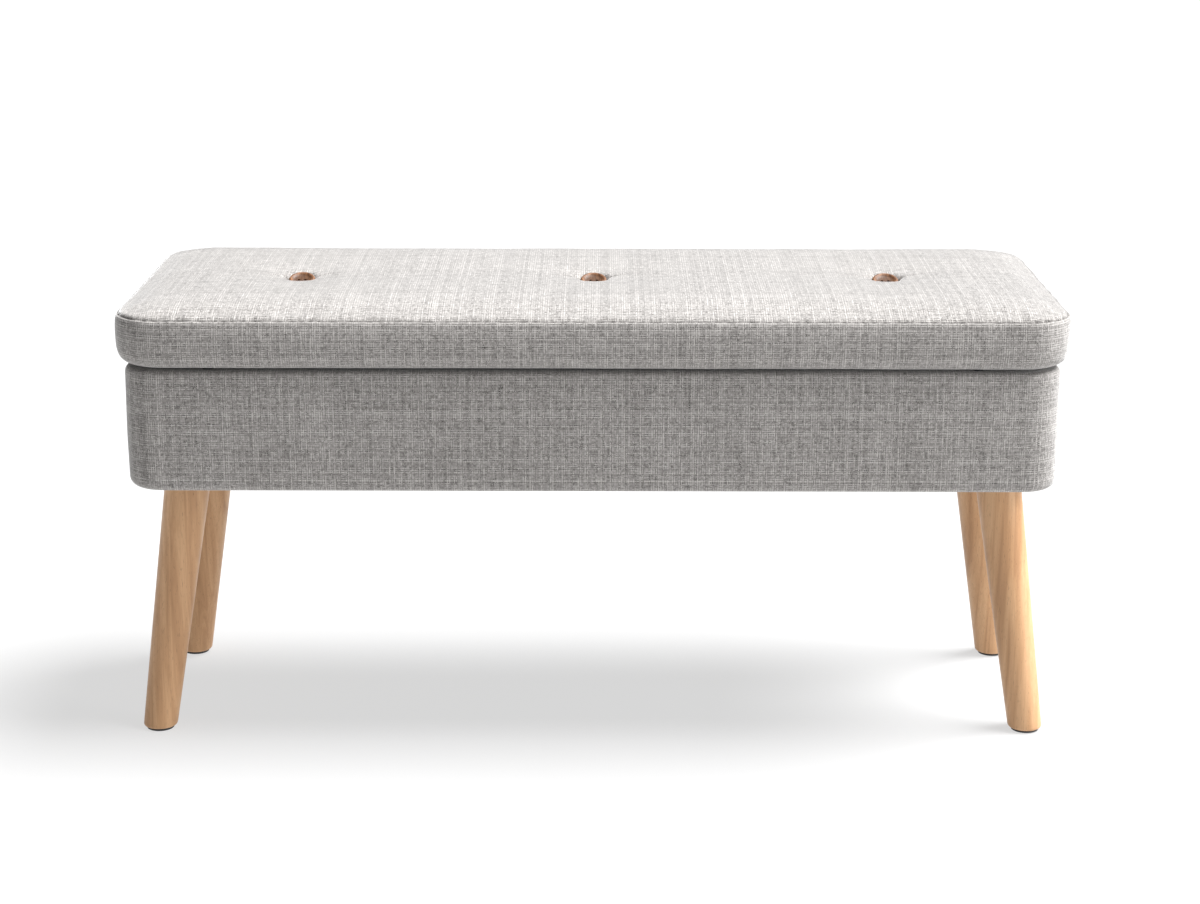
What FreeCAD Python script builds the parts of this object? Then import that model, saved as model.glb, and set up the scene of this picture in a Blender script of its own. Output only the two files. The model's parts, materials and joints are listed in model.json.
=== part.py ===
import FreeCAD, Part
import os
import re
import Sketcher

# Upholstered storage bench: a padded box on four splayed wooden legs, with a hinged cushioned lid.
# Millimetres. The origin is on the floor under the middle of the bench, +X runs along its length to
# the right, the front is at -Y and +Z is up. The lid is drawn closed.

doc = FreeCAD.newDocument("storage_bench")

# ---------------------------------------------------------------- driving dimensions
SIZES = [
    ("lid_length", 1000, "finished length of the lid, at its widest"),
    ("lid_depth", 400, "finished depth of the lid, front to back"),
    ("lid_corner", 55, "plan radius of the lid's corners"),
    ("lid_side", 52, "height of the lid's side band, up to the top seam"),
    ("lid_crown", 12, "rise of the lid's top above that seam"),
    ("lid_tuck", 16, "rounding of the lid's lower edge"),
    ("lid_overhang", 9, "how far the lid stands out past the box all round"),
    ("lid_gap", 3, "gap between the box's rim and the lid"),
    ("lid_opening", 70, "angle that the stays let the lid open to, in degrees"),
    ("leg_height", 288, "floor to the underside of the box"),
    ("box_height", 130, "height of the upholstered box"),
    ("box_corner", 40, "plan radius of the box's corners"),
    ("box_roll", 10, "rounding of the box's lower edge"),
    ("cover", 1.5, "thickness of the cover fabric, the dust cover and the lid's lining"),
    ("padding", 8, "thickness of the wadding round the box"),
    ("box_hem", 24, "how far the cover turns in under the box, from its outer face"),
    ("panel", 15, "thickness of the box's walls"),
    ("base_board", 12, "thickness of the box's floor"),
    ("base_round", 10, "rounding of the floor board's lower edge"),
    ("lining", 1, "thickness of the lining inside the box"),
    ("lining_drop", 2, "how far the lining ends below the top of the walls"),
    ("lid_board", 15, "thickness of the board in the lid"),
    ("lid_wadding", 6.5, "padding between the lid board's edge and the cover"),
    ("lid_hem", 45, "how far the cover turns in under the lid, from its outer face"),
    ("leg_inset_x", 53, "leg's top centre from the end of the box"),
    ("leg_inset_y", 94, "leg's top centre from the front or back of the box"),
    ("leg_splay_x", 38.5, "how far the foot stands out past the leg's top, lengthways"),
    ("leg_splay_y", 27, "how far the foot stands out past the leg's top, front to back"),
    ("leg_top_radius", 25, "radius of the leg where it meets the box"),
    ("leg_foot_radius", 18.5, "radius of the leg at its foot"),
    ("leg_foot_round", 3, "rounding of the foot's edge"),
    ("leg_spare", 30, "turned length sawn off each end of a leg"),
    ("glide_radius", 15, "radius of the glide under each foot"),
    ("glide_height", 3, "thickness of the glide"),
    ("glide_round", 1, "rounding of the glide's lower edge"),
    ("leg_plate", 54, "side of the square plate that holds a leg"),
    ("leg_plate_thickness", 2.5, "thickness of that plate"),
    ("plate_screw_inset", 7, "plate screw's centre from the plate's edges"),
    ("bolt_radius", 4, "radius of the bolt in the leg's top"),
    ("bolt_depth", 35, "how deep that bolt goes into the leg"),
    ("bolt_reach", 12, "how far that bolt stands up past the leg"),
    ("button_spacing", 321, "distance between the lid's buttons"),
    ("button_radius", 14.5, "radius of a button"),
    ("button_thickness", 6, "thickness of a button at its rim"),
    ("button_round", 1.6, "rounding of the button's rim"),
    ("dish_radius", 10, "radius of the hollow in a button's face"),
    ("dish_depth", 1.5, "depth of that hollow"),
    ("eye_radius", 1.5, "radius of a sewing hole in a button"),
    ("eye_spacing", 7, "distance between a button's sewing holes"),
    ("button_sink", 11, "button's underside, at its centre, below the lid's top"),
    ("button_tilt", 20, "how far a button leans to the front, in degrees"),
    ("dimple_depth", 17, "depth of the dimple that a button sits in"),
    ("dimple_floor", 18, "radius of the dimple's floor"),
    ("dimple_mouth", 34, "radius of the dimple's mouth"),
    ("tuft_radius", 0.9, "radius of the twine that pulls a button down"),
    ("tuft_gap", 3, "twine's end below the button"),
    ("anchor_radius", 10, "radius of the washer that the twine is tied to"),
    ("anchor_thickness", 2, "thickness of that washer"),
    ("hinge_inset", 200, "hinge's centre from the lid's end"),
    ("hinge_pitch", 12, "length of one knuckle with its end play"),
    ("hinge_play", 0.4, "end play between two knuckles"),
    ("knuckle_radius", 3, "outside radius of a hinge knuckle"),
    ("knuckle_clear", 0.5, "knuckle from the back of the box"),
    ("leaf_clear", 0.8, "leaf's edge from the other leaf's knuckles"),
    ("leaf", 1.2, "thickness of a hinge leaf"),
    ("leaf_reach", 26, "how far a leaf reaches in from the hinge pin"),
    ("pin_radius", 1.5, "radius of a hinge pin"),
    ("running_clear", 0.05, "radial clearance of a part that turns on a pin"),
    ("hinge_screw_pitch", 20, "distance between a leaf's screws"),
    ("small_screw", 1.6, "shank radius of the hinge screws"),
    ("small_head", 3, "head radius of the hinge screws"),
    ("hinge_screw_length", 22, "length of a screw into the back panel's edge"),
    ("lid_screw_length", 13, "length of the screws into the lid board"),
    ("wood_screw", 2, "shank radius of the plate, bracket and track screws"),
    ("wood_head", 3.8, "head radius of those screws"),
    ("plate_screw_length", 12, "length of a leg plate's screw"),
    ("track_screw_length", 18, "length of a track's screw"),
    ("stay_drop", 7, "slope from the hinge down to the arm's pivot, in degrees"),
    ("stay_fold", 8, "angle at the hinge between the arm's pivot and the track, in degrees"),
    ("stay_front_clear", 54, "closed stud from the front lining"),
    ("stay_gap", 0.5, "side play between track, arm and bracket"),
    ("stay_end_radius", 8, "half width of the arm and of the bracket's ear"),
    ("arm_thickness", 2.5, "thickness of the arm"),
    ("bracket_thickness", 2, "thickness of the bracket"),
    ("bracket_width", 26, "width of the bracket's flange"),
    ("bracket_length", 60, "length of the bracket's flange"),
    ("bracket_screw_pitch", 40, "distance between the bracket's screws"),
    ("track_thickness", 6, "thickness of the track"),
    ("track_radius", 10, "half width of the track"),
    ("track_end", 14, "track beyond the end of the stud's travel"),
    ("track_screw_inset", 8, "track screw from the end of the stud's travel"),
    ("groove_depth", 5, "depth of the groove in the track"),
    ("stud_radius", 3, "radius of the stud that slides in the track"),
    ("stud_clear", 0.3, "clearance all round the stud in its groove"),
    ("rivet_radius", 2.5, "radius of the rivet that the arm turns on"),
    ("rivet_head_radius", 4.5, "radius of that rivet's heads"),
    ("rivet_head", 1.5, "thickness of that rivet's heads"),
    ("rivet_gap", 0.3, "rivet's outer head from the arm"),
    ("bumper_radius", 6, "radius of a rim bumper"),
    ("bumper_clear", 0.4, "bumper's top from the closed lid"),
    ("bumper_inset", 51, "bumper from the end of the wall's straight run"),
    ("dowel_radius", 3, "radius of a dowel between a wall and a corner block"),
    ("dowel_length", 20, "length of that dowel, half in each piece"),
    ("dowel_inset", 30, "dowel from the wall's top or bottom edge"),
]
ALIASES = {alias for alias, _, _ in SIZES}
sizes = doc.addObject("Spreadsheet::Sheet", "sizes")
for row, (alias, value, note) in enumerate(SIZES, start=1):
    sizes.set(f"A{row}", str(value))
    sizes.setAlias(f"A{row}", alias)
    sizes.set(f"B{row}", note)
doc.recompute()

# What follows from them, as formulas in the same words.
DERIVED = {
    "box_length": "lid_length - 2 * lid_overhang",
    "box_depth": "lid_depth - 2 * lid_overhang",
    "box_top": "leg_height + box_height",
    "rim_top": "box_top - cover",
    "base_bottom": "leg_height + cover",
    "base_top": "base_bottom + base_board",
    "carcass_length": "box_length - 2 * (cover + padding)",
    "carcass_depth": "box_depth - 2 * (cover + padding)",
    "carcass_corner": "box_corner - cover - padding",
    "inside_length": "carcass_length - 2 * panel",
    "inside_depth": "carcass_depth - 2 * panel",
    "inside_corner": "carcass_corner - panel",
    "wall_height": "rim_top - base_top",
    "straight_x": "box_length / 2 - box_corner",
    "straight_y": "box_depth / 2 - box_corner",
    "wall_line_x": "(carcass_length - panel) / 2",
    "wall_line_y": "(carcass_depth - panel) / 2",
    "leg_x": "box_length / 2 - leg_inset_x",
    "leg_y": "box_depth / 2 - leg_inset_y",
    "leg_top": "base_bottom - leg_plate_thickness",
    "leg_rise": "leg_top - glide_height",
    "leg_splay": "sqrt(leg_splay_x ^ 2 + leg_splay_y ^ 2)",
    "leg_axis": "sqrt(leg_splay ^ 2 + leg_rise ^ 2)",
    "leg_taper": "(leg_top_radius - leg_foot_radius) / leg_axis",
    "lid_bottom": "box_top + lid_gap",
    "lid_top": "lid_bottom + lid_side + lid_crown",
    "lid_board_bottom": "lid_bottom + cover",
    "lid_board_inset": "cover + lid_wadding",
    "button_base": "lid_top - button_sink",
    "hinge_x": "lid_length / 2 - hinge_inset",
    "hinge_y": "box_depth / 2 + knuckle_clear + knuckle_radius",
    "hinge_z": "box_top + lid_gap / 2",
    "stay_slope": "(stay_drop + stay_fold) * 1deg",
    "stay_reach": "hinge_y + inside_depth / 2 - lining - stay_front_clear",
    "stay_arm": "stay_reach / (2 * cos(stay_fold * 1deg) * cos(stay_slope))",
    "stud_open": "2 * stay_arm * cos((stay_fold + lid_opening) * 1deg)",
    "stud_closed": "2 * stay_arm * cos(stay_fold * 1deg)",
    "pivot_y": "hinge_y - stay_arm * cos(stay_drop * 1deg)",
    "pivot_z": "hinge_z - stay_arm * sin(stay_drop * 1deg)",
    "stay_wall_x": "inside_length / 2 - lining",
    "track_face_x": "stay_wall_x - track_thickness",
    "arm_face_x": "track_face_x - stay_gap",
    "ear_face_x": "arm_face_x - arm_thickness - stay_gap",
}
SIDES = {"left": -1, "right": 1}
ENDS = {"front": -1, "back": 1}


def formula(text):
    """The expression for a formula written with the sheet's aliases and the derived names."""

    def spelled_out(match):
        word = match.group()
        if word in DERIVED:
            return f"({formula(DERIVED[word])})"
        return f"sizes.{word}" if word in ALIASES else word

    return re.sub(r"[A-Za-z_]\w*", spelled_out, str(text))


def number(text):
    """The value of a formula now."""
    return float(FreeCAD.Units.Quantity(sizes.evalExpression(formula(text))).Value)


# ---------------------------------------------------------------- drawing helpers
TURNS = {
    "+Z": FreeCAD.Rotation(),
    "-Z": FreeCAD.Rotation(FreeCAD.Vector(1, 0, 0), 180),
    "+X": FreeCAD.Rotation(FreeCAD.Vector(0, 1, 0), 90),
    "-X": FreeCAD.Rotation(FreeCAD.Vector(0, 1, 0), -90),
    "+Y": FreeCAD.Rotation(FreeCAD.Vector(1, 0, 0), -90),
}
LEVEL_TOLERANCE = 1e-3
parts = []


def bind(thing, **formulas):
    """Bind an object's own sizes to formulas."""
    for size, text in formulas.items():
        thing.setExpression(size, formula(text))


def place(thing, at, direction="+Z"):
    """Put an object at three formulas, its own Z axis along direction."""
    thing.Placement = FreeCAD.Placement(FreeCAD.Vector(), TURNS[direction])
    for letter, text in zip("xyz", at):
        thing.setExpression(f"Placement.Base.{letter}", formula(text))


def lean(thing, at, degrees):
    """Put an object at three formulas, leaning about X so that its top comes to the front."""
    thing.Placement = FreeCAD.Placement(FreeCAD.Vector(), FreeCAD.Rotation(FreeCAD.Vector(1, 0, 0), 1))
    thing.setExpression("Placement.Rotation.Angle", formula(degrees))
    for letter, text in zip("xyz", at):
        thing.setExpression(f"Placement.Base.{letter}", formula(text))


def part(label, thing):
    """Keep an object as a sub-part of the bench, under its own label."""
    thing.Label = label
    parts.append(thing)
    return thing


def new_sketch(body, plane, lift=None):
    """A sketch on one of a body's own origin planes, lifted off it by a formula."""
    sketch = body.newObject("Sketcher::SketchObject", f"{body.Name}_sketch")
    origin_plane = next(item for item in body.Origin.OriginFeatures if item.Role == plane)
    sketch.AttachmentSupport = [(origin_plane, "")]
    sketch.MapMode = "FlatFace"
    if lift is not None:
        sketch.setExpression("AttachmentOffset.Base.z", formula(lift))
    return sketch


def constrain(sketch, name, text, *constraint):
    """Add a named size to a sketch, bound to a formula."""
    index = sketch.addConstraint(Sketcher.Constraint(*constraint, number(text)))
    sketch.renameConstraint(index, name)
    sketch.setExpression(f"Constraints.{name}", formula(text))


def draw_circle(sketch, radius, x=0):
    """A circle on the sketch's X axis, at the number x, its radius bound to a formula."""
    circle = sketch.addGeometry(Part.Circle(FreeCAD.Vector(x, 0, 0), FreeCAD.Vector(0, 0, 1), number(radius)))
    constrain(sketch, f"radius{circle}", radius, "Radius", circle)
    return circle


def draw_loop(sketch, points, turns):
    """Straight runs joined by tangent arcs. points are the runs' ends, turns the arcs' centres and
    start angles, in order, anticlockwise."""
    up = FreeCAD.Vector(0, 0, 1)
    runs, arcs = [], []
    for begin, end in points:
        runs.append(sketch.addGeometry(Part.LineSegment(FreeCAD.Vector(*begin), FreeCAD.Vector(*end))))
    for centre, radius, start, sweep in turns:
        circle = Part.Circle(FreeCAD.Vector(*centre), up, radius)
        first, last = (FreeCAD.Units.Quantity(f"{angle} deg").getValueAs("rad").Value
                       for angle in (start, start + sweep))
        arcs.append(sketch.addGeometry(Part.ArcOfCircle(circle, first, last)))
    for place_in_loop, (run, arc) in enumerate(zip(runs, arcs)):
        following = runs[(place_in_loop + 1) % len(runs)]
        sketch.addConstraint(Sketcher.Constraint("Tangent", run, 2, arc, 1))
        sketch.addConstraint(Sketcher.Constraint("Tangent", arc, 2, following, 1))
        if arc != arcs[0]:
            sketch.addConstraint(Sketcher.Constraint("Equal", arcs[0], arc))
    return runs, arcs


def draw_rounded_rectangle(sketch, length, depth, corner):
    """A rounded rectangle centred on the sketch's origin."""
    x, y, radius = number(length) / 2, number(depth) / 2, number(corner)
    in_x, in_y = x - radius, y - radius
    runs, arcs = draw_loop(
        sketch,
        [((-in_x, -y, 0), (in_x, -y, 0)), ((x, -in_y, 0), (x, in_y, 0)),
         ((in_x, y, 0), (-in_x, y, 0)), ((-x, in_y, 0), (-x, -in_y, 0))],
        [((in_x, -in_y, 0), radius, 270, 90), ((in_x, in_y, 0), radius, 0, 90),
         ((-in_x, in_y, 0), radius, 90, 90), ((-in_x, -in_y, 0), radius, 180, 90)])
    for run, way in zip(runs, ("Horizontal", "Vertical", "Horizontal", "Vertical")):
        sketch.addConstraint(Sketcher.Constraint(way, run))
    sketch.addConstraint(Sketcher.Constraint("Symmetric", arcs[0], 3, arcs[2], 3, -1, 1))
    constrain(sketch, "length", length, "DistanceX", runs[3], 1, runs[1], 1)
    constrain(sketch, "depth", depth, "DistanceY", runs[0], 1, runs[2], 1)
    constrain(sketch, "corner", corner, "Radius", arcs[0])


def draw_stadium(sketch, reach, radius):
    """A strip with round ends: one end's centre is the origin, the other's is reach away on -X."""
    far, half = -number(reach), number(radius)
    runs, arcs = draw_loop(
        sketch,
        [((far, -half, 0), (0, -half, 0)), ((0, half, 0), (far, half, 0))],
        [((0, 0, 0), half, 270, 180), ((far, 0, 0), half, 90, 180)])
    sketch.addConstraint(Sketcher.Constraint("Horizontal", runs[0]))
    sketch.addConstraint(Sketcher.Constraint("Coincident", arcs[0], 3, -1, 1))
    constrain(sketch, "reach", reach, "DistanceX", arcs[1], 3, arcs[0], 3)
    constrain(sketch, "radius", radius, "Radius", arcs[0])


def pad(body, sketch, length, midplane=False):
    feature = body.newObject("PartDesign::Pad", f"{body.Name}_pad")
    feature.Profile = sketch
    feature.Midplane = midplane
    bind(feature, Length=length)
    doc.recompute()
    return feature


def pocket(body, sketch, depth):
    """Cut a sketch down into a body, and make sure that it took something away."""
    before = body.Shape.Volume
    feature = body.newObject("PartDesign::Pocket", f"{body.Name}_pocket")
    feature.Profile = sketch
    bind(feature, Length=depth)
    doc.recompute()
    if not body.Shape.Volume < before:
        raise RuntimeError(f"{body.Name}: a pocket cuts nothing")
    return feature


def flat_edges(thing, side):
    """The numbers of the edges that lie flat at a shape's top or bottom."""
    heights = [face.CenterOfMass.z for face in thing.Shape.Faces]
    level = max(heights) if side == "top" else min(heights)
    return [index for index, edge in enumerate(thing.Shape.Edges, start=1)
            if abs(edge.BoundBox.ZMin - level) < LEVEL_TOLERANCE
            and abs(edge.BoundBox.ZMax - level) < LEVEL_TOLERANCE]


def round_rim(body, side, radius):
    """Round the edges that lie flat at a body's top or bottom, in the body's own frame."""
    base = body.Tip
    fillet = body.newObject("PartDesign::Fillet", f"{body.Name}_round_{side}")
    fillet.Base = (base, [f"Edge{index}" for index in flat_edges(base, side)])
    bind(fillet, Radius=radius)
    doc.recompute()


def slab(name, length, depth, corner, bottom, height, bottom_round=None, top_round=None):
    """A level slab with rounded corners, centred in plan, from the height bottom up."""
    body = doc.addObject("PartDesign::Body", name)
    sketch = new_sketch(body, "XY_Plane")
    draw_rounded_rectangle(sketch, length, depth, corner)
    pad(body, sketch, height)
    if bottom_round is not None:
        round_rim(body, "bottom", bottom_round)
    if top_round is not None:
        round_rim(body, "top", top_round)
    place(body, (0, 0, bottom))
    return body


def strip(name, reach, radius, thickness, at, slope):
    """An upright strip with round ends, centred on x, from one end's centre forwards and down."""
    body = doc.addObject("PartDesign::Body", name)
    sketch = new_sketch(body, "YZ_Plane")
    draw_stadium(sketch, reach, radius)
    pad(body, sketch, thickness, midplane=True)
    lean(body, at, slope)
    return body


def disc(name, radius, thickness, at, edge_round):
    """A level disc with a rounded lower edge."""
    body = doc.addObject("PartDesign::Body", name)
    sketch = new_sketch(body, "XY_Plane")
    centre = draw_circle(sketch, radius)
    sketch.addConstraint(Sketcher.Constraint("Coincident", centre, 3, -1, 1))
    pad(body, sketch, thickness)
    round_rim(body, "bottom", edge_round)
    place(body, at)
    return body


def block(name, size, at):
    """A box of the size given, centred on at in x and y and standing on at in z."""
    box = doc.addObject("Part::Box", name)
    length, width, height = size
    bind(box, Length=length, Width=width, Height=height)
    place(box, (f"{at[0]} - ({length}) / 2", f"{at[1]} - ({width}) / 2", at[2]))
    return box


def rod(name, radius, length, at, direction="+Z"):
    """A cylinder from at, along direction."""
    cylinder = doc.addObject("Part::Cylinder", name)
    bind(cylinder, Radius=radius, Height=length)
    place(cylinder, at, direction)
    return cylinder


def screw(name, shank, head, head_depth, length, at, direction):
    """A countersunk screw, its head's face at at and its point along direction."""
    cone = doc.addObject("Part::Cone", f"{name}_head")
    bind(cone, Radius1=head, Radius2=shank, Height=head_depth)
    body = doc.addObject("Part::Cylinder", f"{name}_shank")
    bind(body, Radius=shank, Height=length)
    fused = doc.addObject("Part::Fuse", name)
    fused.Base, fused.Tool = cone, body
    place(fused, at, direction)
    return fused


def group(name, members):
    """Separate solids of the same sort, kept as one object."""
    together = doc.addObject("Part::Compound", name)
    together.Links = members
    return together


def fuse(name, members):
    joined = doc.addObject("Part::MultiFuse", name)
    joined.Shapes = members
    return joined


def common(name, base, tool):
    shared = doc.addObject("Part::Common", name)
    shared.Base, shared.Tool = base, tool
    return shared


def cut(name, base, *tools):
    for tool in tools:
        rest = doc.addObject("Part::Cut", f"{name}_cut")
        rest.Base, rest.Tool = base, tool
        base = rest
    return base


def corners(signed_x, signed_y):
    """The four corner positions, each with its name, as formulas."""
    for end, toward_back in ENDS.items():
        for side, to_right in SIDES.items():
            x, y = f"{to_right} * {signed_x}", f"{toward_back} * {signed_y}"
            yield f"{end}_{side}", to_right, toward_back, x, y


# ---------------------------------------------------------------- legs, plates and glides
leg_bolts, leg_plates, plate_screws = [], [], []
for corner, to_right, toward_back, x, y in corners("leg_x", "leg_y"):
    foot_x = f"{to_right} * (leg_x + leg_splay_x)"
    foot_y = f"{toward_back} * (leg_y + leg_splay_y)"
    bolt = rod(f"leg_bolt_{corner}", "bolt_radius", "bolt_depth + bolt_reach", (x, y, "leg_top - bolt_depth"))
    leg_bolts.append(bolt)

    # A cone turned about the leg's own slanted axis, sawn level at both ends.
    turned = doc.addObject("Part::Cone", f"leg_turned_{corner}")
    bind(turned, Radius1="leg_foot_radius - leg_taper * leg_spare",
         Radius2="leg_top_radius + leg_taper * leg_spare", Height="leg_axis + 2 * leg_spare")
    slant_x, slant_y = f"{-to_right} * leg_splay_x", f"{-toward_back} * leg_splay_y"
    turned.Placement = FreeCAD.Placement(FreeCAD.Vector(), FreeCAD.Rotation(FreeCAD.Vector(1, 1, 0), 1))
    turned.setExpression("Placement.Rotation.Axis.x", formula(f"-({slant_y})"))
    turned.setExpression("Placement.Rotation.Axis.y", formula(slant_x))
    turned.setExpression("Placement.Rotation.Angle", formula("atan(leg_splay / leg_rise)"))
    for letter, foot, slant in (("x", foot_x, slant_x), ("y", foot_y, slant_y),
                                ("z", "glide_height", "leg_rise")):
        turned.setExpression(f"Placement.Base.{letter}",
                             formula(f"{foot} - leg_spare * ({slant}) / leg_axis"))
    level = block(f"leg_level_{corner}",
                  ("2 * (leg_splay_x + 2 * leg_top_radius)", "2 * (leg_splay_y + 2 * leg_top_radius)",
                   "leg_rise"), (foot_x, foot_y, "glide_height"))
    sawn = common(f"leg_sawn_{corner}", turned, level)
    doc.recompute()
    leg = doc.addObject("Part::Fillet", f"leg_rounded_{corner}")
    leg.Base = sawn
    foot_round = number("leg_foot_round")
    leg.Edges = [(index, foot_round, foot_round) for index in flat_edges(sawn, "bottom")]
    part(f"leg_{corner}", cut(f"leg_{corner}", leg, bolt))
    part(f"foot_glide_{corner}",
         disc(f"foot_glide_{corner}", "glide_radius", "glide_height", (foot_x, foot_y, 0), "glide_round"))

    screws = []
    for along in (-1, 1):
        for across in (-1, 1):
            spot = (f"{x} + {along} * (leg_plate / 2 - plate_screw_inset)",
                    f"{y} + {across} * (leg_plate / 2 - plate_screw_inset)", "leg_top")
            screws.append(screw(f"plate_screw_{corner}", "wood_screw", "wood_head", "leg_plate_thickness",
                                "plate_screw_length", spot, "+Z"))
    plate_screws += screws
    plate = block(f"leg_plate_blank_{corner}", ("leg_plate", "leg_plate", "leg_plate_thickness"),
                  (x, y, "leg_top"))
    leg_plates.append(plate)
    holes = group(f"plate_holes_{corner}", screws)
    part(f"leg_plate_{corner}", cut(f"leg_plate_{corner}", plate, bolt, holes))
leg_bolts = part("leg_bolts", group("leg_bolts", leg_bolts))
plate_screws = part("leg_plate_screws", group("leg_plate_screws", plate_screws))
plate_windows = group("plate_windows", leg_plates)

# ---------------------------------------------------------------- hinges
# Both leaves lie in the gap under the lid, so the pin runs just behind the box.
KNUCKLES = {"box": (0, 2, 4), "lid": (1, 3)}
KNUCKLE_COUNT = 5
LEAVES = {
    "box": {"bottom": "box_top", "bore": "pin_radius", "screw": "-Z", "screw_face": "box_top + leaf",
            "screw_length": "hinge_screw_length"},
    "lid": {"bottom": "lid_bottom - leaf", "bore": "pin_radius + running_clear", "screw": "+Z",
            "screw_face": "lid_bottom - leaf", "screw_length": "lid_screw_length"},
}
hinge_screws = {"box": [], "lid": []}
for side, to_right in SIDES.items():
    middle_x = f"{to_right} * hinge_x"
    pin = rod(f"hinge_pin_{side}", "pin_radius", f"{KNUCKLE_COUNT} * hinge_pitch",
              (f"{middle_x} - {KNUCKLE_COUNT} * hinge_pitch / 2", "hinge_y", "hinge_z"), "+X")
    part(f"hinge_pin_{side}", pin)
    for carrier, leaf in LEAVES.items():
        name = f"hinge_{carrier}_leaf_{side}"
        depth = "leaf_reach - knuckle_radius - leaf_clear"
        pieces = [block(f"{name}_plate", (f"{KNUCKLE_COUNT} * hinge_pitch - hinge_play", depth, "leaf"),
                        (middle_x, f"hinge_y - knuckle_radius - leaf_clear - ({depth}) / 2", leaf["bottom"]))]
        for knuckle in KNUCKLES[carrier]:
            from_middle = knuckle - (KNUCKLE_COUNT - 1) / 2
            x = f"{middle_x} + {from_middle} * hinge_pitch"
            pieces.append(rod(f"{name}_knuckle", "knuckle_radius", "hinge_pitch - hinge_play",
                              (f"{x} - (hinge_pitch - hinge_play) / 2", "hinge_y", "hinge_z"), "+X"))
            tab = "knuckle_radius + 2 * leaf_clear"
            pieces.append(block(f"{name}_tab", ("hinge_pitch - hinge_play", tab, "leaf"),
                                (x, f"hinge_y - ({tab}) / 2", leaf["bottom"])))
        bore = rod(f"{name}_bore", leaf["bore"], f"{KNUCKLE_COUNT} * hinge_pitch",
                   (f"{middle_x} - {KNUCKLE_COUNT} * hinge_pitch / 2", "hinge_y", "hinge_z"), "+X")
        screws = [screw(f"{name}_screw", "small_screw", "small_head", "leaf", leaf["screw_length"],
                        (f"{middle_x} + {step} * hinge_screw_pitch", "wall_line_y", leaf["screw_face"]),
                        leaf["screw"])
                  for step in (-1, 0, 1)]
        hinge_screws[carrier] += screws
        part(name, cut(name, fuse(f"{name}_blank", pieces), bore, group(f"{name}_holes", screws)))
for carrier, screws in hinge_screws.items():
    hinge_screws[carrier] = part(f"hinge_{carrier}_screws", group(f"hinge_{carrier}_screws", screws))

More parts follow.
